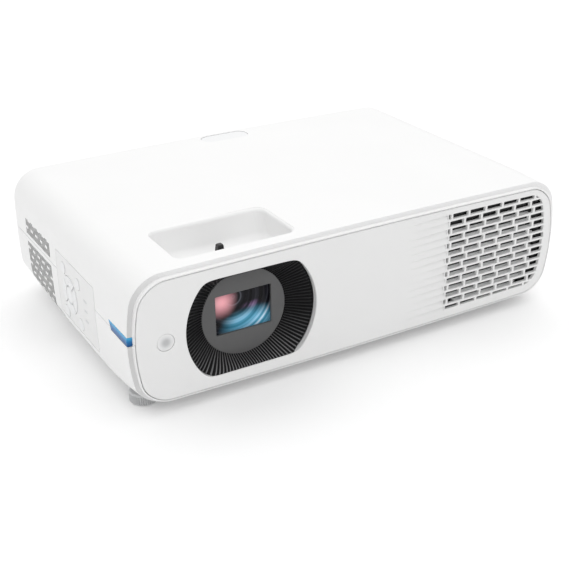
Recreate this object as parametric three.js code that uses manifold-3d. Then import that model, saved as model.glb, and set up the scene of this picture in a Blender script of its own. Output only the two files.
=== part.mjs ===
// A home projector: a two-part casing behind a flush front panel, a zoom lens in a ribbed bezel, a
// four-LED optical engine, fans and boards, a side control panel and screw-out front feet.
// Millimetres, +Z up, the front faces -Y. The origin is under the middle of its box, on the surface
// it stands on. Inside the cabinet group, y is the distance behind the front plane.
import * as THREE from "three";
import { mergeVertices } from "three/addons/utils/BufferGeometryUtils.js";
import Module from "manifold-3d";

// ---- Casing ----
const WIDTH = 405;
const DEPTH = 271;
const TOP = 118.4; // highest point of the crowned top
const UNDERSIDE = 9.4; // lowest point of the casing, which the feet hold off the table
const WALL = 2.6;
const GAP = 0.3; // between pieces that touch
const SPLIT = 67; // parting line between the covers
const FACE_CROWN = 1.8; // how far the top and the underside bulge between their corners
// The sides bulge most at the front rim and are nearly flat from bodyStart to bodyEnd.
const SHAPE = {
  front: { crown: 8.7, topRadius: 20.5, bottomRadius: 20 },
  body: { crown: 2, topRadius: 24, bottomRadius: 18 },
  rear: { crown: 2, topRadius: 24, bottomRadius: 25 },
  bodyStart: 60,
  bodyEnd: 150,
};
const REAR_ROUND = 12;

// ---- Front rim and panel ----
// From the casing's outline to the raised lip and to the panel; corner is how much its radius shrinks.
const LIP_INSET = { side: 3.9, top: 3.9, bottom: 1.1, corner: 1.8 };
const PANEL_INSET = { side: 5.2, top: 5.5, bottom: 2.1, corner: 2.5 };
const LIP = { height: 3.2, slope: 0.5, edge: 0.4 }; // the lip stands forward of the casing's step
const PANEL_THICKNESS = 2.8;
const LEDGE = 3; // how far the seat behind the panel reaches in
const LEDGE_END = 6.5;

// ---- Front exhaust vent ----
const VENT = {
  fromRight: 120.5, // left edge of the slots
  rows: 14,
  rowPitch: 6.5,
  top: 105.2, // centre of the highest row
  slotHeight: 4.6,
  brick: 18, // from web to web
  firstWeb: [3.6, 17.4], // from the left edge to the first web, in alternate rows
  step: 2, // how much further right every second row starts
  web: 2.1,
  margin: { side: 8, top: 4.9, bottom: 8, corner: 8 }, // solid edge of the panel outside the slots
};

// ---- Lens ----
const LENS_FROM_LEFT = 99.5;
const LENS_Z = 63.6;
const LENS_HOLE = { radius: 56.2, flat: 40.6, across: 1.8, up: -1.6 }; // a circle with two flats
const MASK_RADIUS = 36.3;
const MASK_DEPTH = 12;
const MASK_THICKNESS = 2;
const MASK_WINDOW = { width: 48, height: 33, up: 1 };
const CUP = { bore: 33.2, wall: 2, front: 15, back: 25, floor: 2 }; // wide front end of the barrel
const BARREL = { radius: 23.5, bore: 20, end: 117.5 };
const RING_CLEARANCE = 0.5;
const LENS_PLAY = 0.5; // between a lens and its bore
const CUP_PLAY = 1.4; // between the sliding front lens and the cup
const FOCUS_RING = { radius: 29.6, front: 26, back: 40 };
const ZOOM_RING = { radius: 29, front: 43, back: 57 };
const CUP_CLEARANCE = 0.5; // between the cup's flats and the well above
const FRONT_LENS = { radius: CUP.bore - CUP_PLAY, front: 17.4, edge: 3, bulge: 1.4 };
const ZOOM_LENS = { radius: BARREL.bore - LENS_PLAY, front: 68, edge: 6, bulge: 1.5 };
const REAR_LENS = { radius: BARREL.bore - LENS_PLAY, front: 98, edge: 5, bulge: 1.5 };
const LEVER = { width: 8, top: 105.5, thickness: 7 };

// ---- Adjustment well in the top ----
const WELL = { left: -51, right: 48.5, front: 17, back: 73, radius: 7, floor: 95.5, wall: 1.5 };
const WELL_BACK_SLOPE = 9; // how far the back wall leans in from the mouth to the floor
const LEVER_SLOT = { halfWidth: 19, front: 45, back: 55 };
const FOCUS_WINDOW = { halfWidth: 24, front: 26, back: 40 };
const CUP_FLAT = WELL.floor - WELL.wall - CUP_CLEARANCE - LENS_Z; // from the lens axis

// ---- Infrared windows ----
const FRONT_IR = { fromLens: 16.4, z: 62, radius: 7 }; // from the edge of the lens opening
const TOP_IR = { x: 4, fromRear: 22.4, length: 48, width: 18.5 };

// ---- Accent strip on the left parting line ----
const STRIP = { below: 2, above: 5, length: 38, slant: 4, reach: 12 };

// ---- Left control panel ----
const PANEL = { front: 67, back: 153, bottom: 29, top: 85, radius: 3 };
const NAV = { y: 124, z: 55, radius: 16, inner: 8, enter: 7.2, slit: 0.8, length: 4 };
const KEY_RADIUS = 5;
const KEY_PROUD = 0.7;
const KEY_FLANGE = { reach: 1.3, back: 4.6, thickness: 1.2 };
const ROUND_KEYS = [
  { name: "power_key", y: 136, z: 74.5 },
  { name: "back_key", y: 103.5, z: 73 },
  { name: "source_key", y: 136, z: 35.5 },
  { name: "menu_key", y: 103.5, z: 37 },
];
const LIGHTS = { y: 88.6, z: [46.5, 55.4, 64.2], length: 6, height: 1.4, depth: 5 };
const KEYPAD_BOARD = { gap: 9, thickness: 1.6 };

// ---- Left intake vents ----
const INTAKE = {
  columns: 20,
  pitch: 3.15,
  slot: 1.9,
  fromRear: 102, // front edge of the first column
  upper: [70.5, 84.5],
  lower: [21, 63],
  cell: 15, // height of one slot and its web
  web: 2.2,
};
const LOCK_NOTCH = { fromRear: 111.5, length: 17, z: 16, height: 10, depth: 16 };

// ---- Cooling ----
const EXHAUST_FAN = { size: 92, thickness: 25, front: 16, z: 61.5, fromRight: 75.5 };
const INTAKE_FAN = { size: 70, thickness: 20, fromSide: 12.5, fromRear: 69, z: 57 };
const HEAT_PIPE = { radius: 3, rise: 14 };
const HUB_SHARE = 0.4; // hub radius over blade radius
const BLADES = 7;
const SINK = {
  fromRight: 67.5, // its middle
  width: 86,
  front: 73,
  back: 106,
  bottom: 24,
  top: 102,
  fins: 13,
  fin: 1.4,
};

// ---- Optical engine ----
const ENGINE = { beforeLens: 42, width: 205, front: 118, back: 176, bottom: 30, top: 98, wall: 3 };
const LED = { board: 28, thickness: 2, collimator: 12, length: 13, seat: 0.8 };
const LED_PLACES = { red: 78, blue: 128, pump: 113 }; // to the right of the lens axis
const PRISM = { size: 40, gap: 8 };
const DMD = { width: 26, height: 18, thickness: 3, board: 50 };

// ---- Rear connectors ----
const IO = { fromLeft: 72.5, fromRight: 24.5, bottom: 24, top: 58, recess: 1, thickness: 2.5 };
const PORT_PROUD = 0.5; // how far a connector stands out of the panel
const BOARD_TOP = 25.6;
const BOARD_THICKNESS = 1.6;
const MAINBOARD = { fromLeft: 42.5, fromRight: 106.5, behindEngine: 6, fromRear: 8.6 };
const POWER_BOARD = { fromRight: 16.5, width: 82, front: 166, fromRear: 34 };
const AC = { fromRight: 54.5, width: 28, height: 21, depth: 24, z: 41 };
const AUDIO = { fromLeft: 274.5, spacing: 13, nose: 4.2, bore: 1.8, height: 11 };
const CONNECTORS = [
  { name: "hdmi_port_1", fromLeft: 92.5, width: 15.4, height: 6.2, depth: 13, tongue: [2.4, 3.6] },
  { name: "hdmi_port_2", fromLeft: 118.5, width: 15.4, height: 6.2, depth: 13, tongue: [2.4, 3.6] },
  { name: "usb_port", fromLeft: 144.5, width: 14.5, height: 7, depth: 15, tongue: [4, 5.6] },
  { name: "vga_port", fromLeft: 180.5, width: 31, height: 12.6, depth: 12, tongue: [4, 8.6] },
  { name: "rs232_port", fromLeft: 226.5, width: 31, height: 12.6, depth: 12, tongue: [4, 8.6] },
];

// ---- Speaker, behind slots in the right side ----
const SPEAKER = { y: 132, z: 52, size: 40, depth: 22, fromSide: 12 };
const SPEAKER_SLOTS = { count: 7, pitch: 5, width: 2.4, height: 26 };

// ---- Feet ----
const FOOT = { fromSide: 20.5, y: 31, radius: 11.5, wheel: 9.4, stud: 4, studTop: 30, bossWall: 4 };
const REAR_FOOT = { fromSide: 52.5, fromRear: 26, radius: 9 };

const OVERALL = { half: WIDTH / 2, bottom: UNDERSIDE, top: TOP };
const FRONT = { ...OVERALL, ...SHAPE.front };
const BODY = { ...OVERALL, ...SHAPE.body };
const REAR = { ...OVERALL, ...SHAPE.rear };
const LEFT = -WIDTH / 2;
const RIGHT = WIDTH / 2;
const LENS_X = LEFT + LENS_FROM_LEFT;
const PAST = 20; // how far a cutting solid runs past what it cuts
const ENGINE_LEFT = LENS_X - ENGINE.beforeLens;
const ENGINE_RIGHT = ENGINE_LEFT + ENGINE.width;

const wasm = await Module();
wasm.setup();

// ---- Solids ----

// The closed solid of a geometry.
function solidOf(geometry) {
  const bare = geometry.clone();
  bare.deleteAttribute("normal");
  bare.deleteAttribute("uv");
  const merged = mergeVertices(bare, 1e-4);
  return new wasm.Manifold(
    new wasm.Mesh({
      numProp: 3,
      vertProperties: merged.attributes.position.array,
      triVerts: new Uint32Array(merged.index.array),
    }),
  );
}

// The geometry of a solid.
function geometryOf(solid) {
  const mesh = solid.getMesh();
  const positions = new Float32Array(mesh.numVert * 3);
  for (let i = 0; i < mesh.numVert; i += 1) {
    const start = i * mesh.numProp;
    positions.set(mesh.vertProperties.subarray(start, start + 3), i * 3);
  }
  const geometry = new THREE.BufferGeometry();
  geometry.setAttribute("position", new THREE.BufferAttribute(positions, 3));
  geometry.setIndex(new THREE.BufferAttribute(mesh.triVerts, 1));
  geometry.computeVertexNormals();
  return geometry;
}

const join = (...solids) => solids.reduce((sum, solid) => sum.add(solid));
const cut = (solid, ...tools) => tools.reduce((rest, tool) => rest.subtract(tool), solid);

// A box between two x, two y and two z values.
function box([x0, x1], [y0, y1], [z0, z1]) {
  const geometry = new THREE.BoxGeometry(x1 - x0, y1 - y0, z1 - z0);
  geometry.translate((x0 + x1) / 2, (y0 + y1) / 2, (z0 + z1) / 2);
  return solidOf(geometry);
}

// A shape extruded along an axis: its two coordinates are the other two axes, in X, Y, Z order.
function prism(shape, axis, from, to, curveSegments = 12) {
  const geometry = new THREE.ExtrudeGeometry(shape, {
    depth: to - from,
    bevelEnabled: false,
    curveSegments,
  });
  if (axis === "x") {
    const ahead = new THREE.Vector3(1, 0, 0);
    const across = new THREE.Vector3(0, 1, 0);
    const up = new THREE.Vector3(0, 0, 1);
    geometry.applyMatrix4(new THREE.Matrix4().makeBasis(across, up, ahead));
    geometry.translate(from, 0, 0);
  } else if (axis === "y") {
    geometry.rotateX(Math.PI / 2);
    geometry.translate(0, to, 0);
  } else {
    geometry.translate(0, 0, from);
  }
  return solidOf(geometry);
}

// A profile of [radius, height] pairs turned about an axis through the origin.
function turned(profile, axis = "y", segments = 28) {
  const points = profile.map(([radius, height]) => new THREE.Vector2(radius, height));
  const geometry = new THREE.LatheGeometry(points, segments);
  if (axis === "z") {
    geometry.rotateX(Math.PI / 2);
  } else if (axis === "x") {
    geometry.rotateZ(-Math.PI / 2);
  }
  return solidOf(geometry);
}

// A ring or tube, from one height to another along its axis.
function tube(outer, inner, from, to, axis = "y", segments = 28) {
  const profile = [[inner, from], [outer, from], [outer, to], [inner, to], [inner, from]];
  return turned(profile, axis, segments);
}

// A plain cylinder.
function rod(radius, from, to, axis = "y", segments = 16) {
  return turned([[0, from], [radius, from], [radius, to], [0, to]], axis, segments);
}

// ---- Outlines ----

function circle(x, y, radius) {
  return new THREE.Shape().absarc(x, y, radius, 0, 2 * Math.PI, false);
}

function roundedBox(x0, y0, x1, y1, radius) {
  const quarter = Math.PI / 2;
  return new THREE.Shape()
    .absarc(x1 - radius, y0 + radius, radius, -quarter, 0, false)
    .absarc(x1 - radius, y1 - radius, radius, 0, quarter, false)
    .absarc(x0 + radius, y1 - radius, radius, quarter, 2 * quarter, false)
    .absarc(x0 + radius, y0 + radius, radius, 2 * quarter, 3 * quarter, false);
}

function polygon(points) {
  return new THREE.Shape(points.map(([x, y]) => new THREE.Vector2(x, y)));
}

// A circle with a flat above and below, each flat away from the middle.
function flattened(radius, flat, x = 0, y = 0) {
  const turn = Math.asin(flat / radius);
  return new THREE.Shape()
    .absarc(x, y, radius, -turn, turn, false)
    .absarc(x, y, radius, Math.PI - turn, Math.PI + turn, false);
}

// The lens opening about the lens axis, moved in by inset.
function lensOpening(inset = 0) {
  const { radius, flat, across, up } = LENS_HOLE;
  return flattened(radius - inset, flat - inset, across, up);
}

// A section of the casing moved in on its sides, top and bottom, its corners tighter to match.
function moved(section, { side, top, bottom, corner = side }) {
  return {
    crown: section.crown,
    half: section.half - side,
    bottom: section.bottom + bottom,
    top: section.top - top,
    topRadius: Math.max(1, section.topRadius - corner),
    bottomRadius: Math.max(1, section.bottomRadius - corner),
  };
}

const movedIn = (section, inset) => moved(section, { side: inset, top: inset, bottom: inset });

// The points of a section, anticlockwise from the front: a rounded rectangle with bulging sides.
function outline(section, arcSteps = 4, sideSteps = 4) {
  const middle = (section.top + section.bottom) / 2;
  const halfHeight = (section.top - section.bottom) / 2;
  const half = section.half - section.crown;
  const low = section.bottom + FACE_CROWN;
  const high = section.top - FACE_CROWN;
  const corners = [
    [half - section.bottomRadius, low + section.bottomRadius, section.bottomRadius, -90],
    [half - section.topRadius, high - section.topRadius, section.topRadius, 0],
    [section.topRadius - half, high - section.topRadius, section.topRadius, 90],
    [section.bottomRadius - half, low + section.bottomRadius, section.bottomRadius, 180],
  ];
  const round = corners.map(([x, z, radius, start]) =>
    Array.from({ length: arcSteps + 1 }, (_, i) => {
      const angle = THREE.MathUtils.degToRad(start + (90 * i) / arcSteps);
      return [x + radius * Math.cos(angle), z + radius * Math.sin(angle)];
    }),
  );
  const points = round.flatMap((corner, i) => {
    const [x0, z0] = corner[arcSteps];
    const [x1, z1] = round[(i + 1) % round.length][0];
    const between = Array.from({ length: sideSteps - 1 }, (_, k) => {
      const share = (k + 1) / sideSteps;
      return [x0 + (x1 - x0) * share, z0 + (z1 - z0) * share];
    });
    return [...corner, ...between];
  });
  return points.map(([x, z]) => {
    const height = (z - middle) / halfHeight;
    const across = x / half;
    return [
      x + across * section.crown * (1 - height ** 2),
      z + height * FACE_CROWN * (1 - across ** 2),
    ];
  });
}

// How far the body's side stands from the middle at a height.
function sideAt(z) {
  const height = (z - (TOP + UNDERSIDE) / 2) / ((TOP - UNDERSIDE) / 2);
  return WIDTH / 2 - BODY.crown * height ** 2;
}

// A closed solid through sections, each at its own y.
function loft(stations) {
  const rings = stations.map(({ section }) => outline(section));
  const count = rings[0].length;
  const positions = rings.flatMap((ring, i) => ring.flatMap(([x, z]) => [x, stations[i].y, z]));
  const faces = THREE.ShapeUtils.triangulateShape(
    rings[0].map(([x, z]) => new THREE.Vector2(x, z)),
    [],
  );
  const last = (rings.length - 1) * count;
  const indices = faces.flatMap(([a, b, c]) => [a, b, c, last + a, last + c, last + b]);
  for (let ring = 0; ring < rings.length - 1; ring += 1) {
    for (let k = 0; k < count; k += 1) {
      const a = ring * count + k;
      const b = ring * count + ((k + 1) % count);
      indices.push(a, a + count, b, b, a + count, b + count);
    }
  }
  const geometry = new THREE.BufferGeometry();
  geometry.setAttribute("position", new THREE.Float32BufferAttribute(positions, 3));
  geometry.setIndex(indices);
  return solidOf(geometry);
}

// The stations of a rounded rear end: the section shrinks along a quarter circle up to rearmost.
function rearStations(section, radius, rearmost) {
  return [0, 35, 65, 90].map((degrees) => {
    const angle = THREE.MathUtils.degToRad(degrees);
    const inset = radius * (1 - Math.cos(angle));
    return { y: rearmost - radius * (1 - Math.sin(angle)), section: movedIn(section, inset) };
  });
}

// ---- Materials ----

const material = (color, roughness, metalness = 0, extra = {}) =>
  new THREE.MeshStandardMaterial({ color, roughness, metalness, ...extra });

const LOOKS = {
  casing: () => material(0xf2f2f1, 0.55),
  panel: () => material(0xeeeeed, 0.5),
  key: () => material(0xe6e7e8, 0.45),
  accent: () => material(0x1f78c8, 0.2),
  window: () => material(0xe4e5e6, 0.25),
  bezel: () => material(0x101011, 0.4),
  mask: () => material(0x424244, 0.6),
  black: () => material(0x17181a, 0.5),
  rubber: () => material(0x2b2c2e, 0.9),
  foot: () => material(0xd9dadb, 0.6),
  glass: () => material(0xbfd0e0, 0.05, 0, { transparent: true, opacity: 0.4 }),
  cast: () => material(0x8f9396, 0.5, 0.8),
  aluminium: () => material(0xc6c9cc, 0.35, 0.9),
  copper: () => material(0xb9703d, 0.3, 0.95),
  steel: () => material(0xb4b6b8, 0.3, 0.95),
  board: () => material(0x1d5a3a, 0.5),
  red: () => material(0xc43a2e, 0.4),
  green: () => material(0x3aa655, 0.4),
  blue: () => material(0x2d5fc4, 0.4),
  violet: () => material(0x5a4fcf, 0.4),
};

function named(name, solid, look) {
  const mesh = new THREE.Mesh(geometryOf(solid), LOOKS[look]());
  mesh.name = name;
  return mesh;
}

function placed(object, x, y, z) {
  object.position.set(x, y, z);
  return object;
}

function group(...children) {
  const holder = new THREE.Group();
  holder.add(...children);
  return holder;
}

// ---- Casing ----

const lipSection = moved(FRONT, LIP_INSET);
const panelSection = moved(FRONT, PANEL_INSET);

// The casing's outside as one closed block.
function casingBlock() {
  return loft([
    { y: 0, section: movedIn(lipSection, LIP.edge) },
    { y: LIP.edge, section: lipSection },
    { y: LIP.height, section: lipSection },
    { y: LIP.height + LIP.slope, section: FRONT },
    { y: SHAPE.bodyStart, section: BODY },
    { y: SHAPE.bodyEnd, section: BODY },
    ...rearStations(REAR, REAR_ROUND, DEPTH),
  ]);
}

// A straight prism of a section between two y values.
function sectionPrism(section, from, to) {
  return loft([{ y: from, section }, { y: to, section }]);
}

// The room inside: open at the front, with a ledge that the front panel seats against.
function casingRoom() {
  return join(
    sectionPrism(movedIn(panelSection, -GAP), -PAST, PANEL_THICKNESS + GAP),
    sectionPrism(movedIn(panelSection, LEDGE), 0, LEDGE_END + 1),
    loft([
      { y: LEDGE_END, section: movedIn(FRONT, WALL) },
      { y: SHAPE.bodyStart, section: movedIn(BODY, WALL) },
      { y: SHAPE.bodyEnd, section: movedIn(BODY, WALL) },
      ...rearStations(movedIn(REAR, WALL), REAR_ROUND - WALL, DEPTH - WALL),
    ]),
  );
}

// The strip's zone on the left parting line, with a slanted rear end, widened by a clearance.
function stripZone(clearance) {
  const low = SPLIT - STRIP.below - clearance;
  const high = SPLIT + STRIP.above + clearance;
  const end = STRIP.length + clearance;
  const start = LIP.height - clearance;
  const shape = polygon([[start, low], [end - STRIP.slant, low], [end, high], [start, high]]);
  return prism(shape, "x", LEFT - PAST, LEFT + STRIP.reach + clearance);
}

function controlZone(clearance) {
  const shape = roundedBox(
    PANEL.front - clearance,
    PANEL.bottom - clearance,
    PANEL.back + clearance,
    PANEL.top + clearance,
    PANEL.radius + clearance,
  );
  return prism(shape, "x", LEFT - PAST, LEFT + PAST, 3);
}

// The left intake slots: pairs of columns whose webs are staggered like bricks.
function intakeSlots() {
  const start = DEPTH - INTAKE.fromRear;
  const slots = [];
  for (let column = 0; column < INTAKE.columns; column += 1) {
    const y = start + column * INTAKE.pitch;
    const shift = Math.floor(column / 2) % 2 ? INTAKE.cell / 2 : 0;
    for (const [low, high] of [INTAKE.upper, INTAKE.lower]) {
      for (let z = low - shift; z < high; z += INTAKE.cell) {
        const from = Math.max(z, low);
        const to = Math.min(z + INTAKE.cell - INTAKE.web, high);
        if (to - from > INTAKE.web) {
          slots.push(box([LEFT - PAST, LEFT + PAST], [y, y + INTAKE.slot], [from, to]));
        }
      }
    }
  }
  return join(...slots);
}

// The speaker's slots in the right side.
function speakerSlots() {
  const { count, pitch, width, height } = SPEAKER_SLOTS;
  const slots = Array.from({ length: count }, (_, i) => {
    const y = SPEAKER.y + (i - (count - 1) / 2) * pitch;
    const up = [SPEAKER.z - height / 2, SPEAKER.z + height / 2];
    return box([RIGHT - PAST, RIGHT + PAST], [y - width / 2, y + width / 2], up);
  });
  return join(...slots);
}

function wellShape(inset, back = WELL.back) {
  return roundedBox(
    LENS_X + WELL.left + inset,
    WELL.front + inset,
    LENS_X + WELL.right - inset,
    back - inset,
    WELL.radius - inset,
  );
}

// The well's outline from a height up past the top, with a leaning back wall.
function wellBlock(inset, low) {
  const slice = (z, back) => prism(wellShape(inset, back), "z", z, z + 0.01, 4);
  const above = prism(wellShape(inset), "z", TOP, TOP + PAST, 4);
  const leaning = wasm.Manifold.hull([slice(low, WELL.back - WELL_BACK_SLOPE), slice(TOP, WELL.back)]);
  return join(leaning, above);
}

// The well's tray, inside the casing's top.
function wellTray(block) {
  return wellBlock(-WELL.wall, WELL.floor - WELL.wall).intersect(block);
}

function wellRoom() {
  const { halfWidth: slotHalf, front: slotFront, back: slotBack } = LEVER_SLOT;
  const { halfWidth: windowHalf, front: windowFront, back: windowBack } = FOCUS_WINDOW;
  const through = [WELL.floor - PAST, WELL.floor + 1];
  return join(
    wellBlock(0, WELL.floor),
    box([LENS_X - slotHalf, LENS_X + slotHalf], [slotFront, slotBack], through),
    box([LENS_X - windowHalf, LENS_X + windowHalf], [windowFront, windowBack], through),
  );
}

function stadium(x, y, length, width) {
  return roundedBox(x - length / 2, y - width / 2, x + length / 2, y + width / 2, width / 2 - 0.01);
}

function topIrShape(clearance) {
  const y = DEPTH - TOP_IR.fromRear;
  return stadium(TOP_IR.x, y, TOP_IR.length + 2 * clearance, TOP_IR.width + 2 * clearance);
}

// The opening for the connector panel in the rear wall.
function ioZone(clearance) {
  return roundedBox(
    LEFT + IO.fromLeft - clearance,
    IO.bottom - clearance,
    RIGHT - IO.fromRight + clearance,
    IO.top + clearance,
    2 + clearance,
  );
}

const footSides = [
  { name: "left", x: LEFT + FOOT.fromSide },
  { name: "right", x: RIGHT - FOOT.fromSide },
];

function footBosses(block) {
  return join(
    ...footSides.map(({ x }) =>
      prism(circle(x, FOOT.y, FOOT.stud + FOOT.bossWall), "z", UNDERSIDE, FOOT.studTop, 6).intersect(block),
    ),
  );
}

function footHoles() {
  const reach = [-PAST, FOOT.studTop + PAST];
  return join(
    ...footSides.map(({ x }) => prism(circle(x, FOOT.y, FOOT.stud + GAP), "z", ...reach, 6)),
  );
}

// A slot for a lock's cable at the lower left edge.
function lockNotch() {
  const y = DEPTH - LOCK_NOTCH.fromRear;
  const { length, z, height, depth } = LOCK_NOTCH;
  return box([LEFT, LEFT + depth], [y - length / 2, y + length / 2], [z, z + height]);
}

function covers() {
  const block = casingBlock();
  const room = casingRoom();
  const shell = cut(
    block,
    room,
    stripZone(GAP),
    controlZone(GAP),
    intakeSlots(),
    speakerSlots(),
    prism(ioZone(GAP), "y", DEPTH - PAST, DEPTH + PAST, 3),
  );
  const above = box([-WIDTH, WIDTH], [-PAST, DEPTH + PAST], [SPLIT + GAP / 2, TOP + PAST]);
  const below = box([-WIDTH, WIDTH], [-PAST, DEPTH + PAST], [-PAST, SPLIT - GAP / 2]);
  const top = cut(
    join(shell.intersect(above), wellTray(block)),
    wellRoom(),
    prism(topIrShape(GAP), "z", TOP - PAST, TOP + PAST, 6),
  );
  const bottom = cut(join(shell.intersect(below), footBosses(block)), footHoles(), lockNotch());
  return group(
    named("top_cover", top, "casing"),
    named("bottom_cover", bottom, "casing"),
    named("accent_strip", cut(block, room).intersect(stripZone(0)), "accent"),
  );
}

// ---- Front panel ----

function ventSlots() {
  const bricks = [];
  const { rows, rowPitch, slotHeight, brick, firstWeb, step, web, margin } = VENT;
  const edge = RIGHT - VENT.fromRight;
  for (let row = 0; row < rows; row += 1) {
    const z = VENT.top - row * rowPitch;
    const left = edge + (row % 2) * step;
    for (let x = edge + firstWeb[row % 2] - brick; x < RIGHT; x += brick) {
      const from = Math.max(x + web / 2, left);
      const to = x + brick - web / 2;
      if (to - from > web) {
        bricks.push(box([from, to], [-PAST, PAST], [z - slotHeight / 2, z + slotHeight / 2]));
      }
    }
  }
  const clip = sectionPrism(moved(panelSection, margin), -PAST, PAST);
  return join(...bricks).intersect(clip);
}

function frontPanel() {
  const irX = LENS_X + LENS_HOLE.across - LENS_HOLE.radius - FRONT_IR.fromLens;
  const lensHole = prism(lensOpening(), "y", -PAST, PAST, 9).translate([LENS_X, 0, LENS_Z]);
  const panel = cut(
    sectionPrism(panelSection, 0, PANEL_THICKNESS),
    ventSlots(),
    lensHole,
    prism(circle(irX, FRONT_IR.z, FRONT_IR.radius + GAP), "y", -PAST, PAST, 8),
  );
  const window = rod(FRONT_IR.radius, GAP, PANEL_THICKNESS);
  return group(
    named("front_panel", panel, "panel"),
    placed(named("ir_window_front", window, "window"), irX, 0, FRONT_IR.z),
    named("ir_window_top", prism(topIrShape(0), "z", TOP - WALL - 1, TOP - GAP, 6), "window"),
  );
}

// ---- Lens, about its own axis ----

// A lens: a disc with a bulge on each side.
function lens({ radius, front, edge, bulge }) {
  const back = front + edge;
  const profile = [
    [0, front - bulge],
    [radius * 0.55, front - bulge * 0.7],
    [radius, front],
    [radius, back],
    [radius * 0.55, back + bulge * 0.7],
    [0, back + bulge],
  ];
  return turned(profile, "y", 24);
}

// The black funnel between the front panel and the mask.
function bezel() {
  const thin = 1.8;
  const cone = (grow) =>
    turned(
      [
        [0, -1],
        [LENS_HOLE.radius + LENS_HOLE.across + grow, -1],
        [MASK_RADIUS + GAP + grow, MASK_DEPTH],
        [MASK_RADIUS + GAP + grow, MASK_DEPTH + MASK_THICKNESS],
        [0, MASK_DEPTH + MASK_THICKNESS],
      ],
      "y",
      36,
    );
  const outside = cone(thin).intersect(
    prism(lensOpening(GAP), "y", GAP, MASK_DEPTH + MASK_THICKNESS, 9),
  );
  const inside = cone(0).intersect(prism(lensOpening(GAP + thin), "y", -PAST, PAST, 9));
  return cut(outside, inside);
}

function mask() {
  const { width, height, up } = MASK_WINDOW;
  const window = roundedBox(-width / 2, up - height / 2, width / 2, up + height / 2, 2);
  const disc = rod(MASK_RADIUS, MASK_DEPTH, MASK_DEPTH + MASK_THICKNESS, "y", 32);
  return cut(disc, prism(window, "y", -PAST, PAST, 3));
}

// A tube with a flange at its rear and a cup at its front, flattened to pass below the well.
function barrel() {
  const { bore, wall, front, back, floor } = CUP;
  const flange = { radius: 34, thickness: 4 };
  return cut(
    join(
      prism(flattened(bore + wall, CUP_FLAT), "y", front, back, 10),
      rod(BARREL.radius, back - floor, BARREL.end, "y", 28),
      rod(flange.radius, BARREL.end - flange.thickness, BARREL.end, "y", 28),
    ),
    prism(flattened(bore, CUP_FLAT - wall), "y", front - PAST, back - floor, 10),
    rod(BARREL.bore, front, BARREL.end + PAST, "y", 28),
  );
}

// The front lens, flattened like the cup that it slides in.
function frontLens() {
  const flat = CUP_FLAT - CUP.wall - CUP_PLAY;
  return lens(FRONT_LENS).intersect(
    box([-CUP.bore, CUP.bore], [CUP.front - PAST, CUP.back + PAST], [-flat, flat]),
  );
}

// The lever on the zoom ring, which reaches up through the floor of the well.
function lever() {
  const { width, top, thickness } = LEVER;
  const middle = (ZOOM_RING.front + ZOOM_RING.back) / 2;
  const low = ZOOM_RING.radius + GAP;
  const high = top - LENS_Z;
  const shape = polygon([[-width / 2, low], [width / 2, low], [width * 0.36, high], [-width * 0.36, high]]);
  return prism(shape, "y", middle - thickness / 2, middle + thickness / 2);
}

function lensGroup() {
  const inner = BARREL.radius + RING_CLEARANCE;
  const focus = tube(FOCUS_RING.radius, inner, FOCUS_RING.front, FOCUS_RING.back);
  const zoom = tube(ZOOM_RING.radius, inner, ZOOM_RING.front, ZOOM_RING.back);
  return placed(
    group(
      named("lens_bezel", bezel(), "bezel"),
      named("lens_mask", mask(), "mask"),
      named("lens_barrel", barrel(), "black"),
      named("focus_ring", focus, "black"),
      named("zoom_ring", zoom, "black"),
      named("zoom_lever_knob", lever(), "black"),
      named("front_lens", frontLens(), "glass"),
      named("zoom_lens", lens(ZOOM_LENS), "glass"),
      named("rear_lens", lens(REAR_LENS), "glass"),
    ),
    LENS_X,
    0,
    LENS_Z,
  );
}

// ---- Left control panel: keys travel along +X ----

// A round key through the wall at a height: a cap, and a flange that holds it in.
function roundKey(z) {
  const face = -sideAt(z) - KEY_PROUD;
  const flange = -sideAt(z) + KEY_FLANGE.back;
  const end = flange + KEY_FLANGE.thickness;
  return turned(
    [
      [0, face],
      [KEY_RADIUS, face],
      [KEY_RADIUS, flange],
      [KEY_RADIUS + KEY_FLANGE.reach, flange],
      [KEY_RADIUS + KEY_FLANGE.reach, end],
      [0, end],
    ],
    "x",
    16,
  );
}

// One of the four navigation keys: a quarter of a ring about the enter key.
function navKey(direction) {
  const { radius, inner, slit, z, length } = NAV;
  const spread = Math.PI / 4 - Math.asin(slit / (radius + inner));
  const shape = new THREE.Shape()
    .absarc(0, 0, radius, direction - spread, direction + spread, false)
    .absarc(0, 0, inner, direction + spread, direction - spread, true);
  const face = -sideAt(z) - KEY_PROUD;
  return prism(shape, "x", face, face + length, 5);
}

function lightGuide() {
  const { y, z, length, height, depth } = LIGHTS;
  const wall = Math.min(...z.map(sideAt));
  const bars = z.map((level) =>
    box(
      [-sideAt(level), -wall + depth],
      [y - length / 2, y + length / 2],
      [level - height / 2, level + height / 2],
    ),
  );
  const back = box([-wall + depth - 1, -wall + depth + 1], [y - 2, y + 2], [z[0], z[2]]);
  return join(...bars, back);
}

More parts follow.
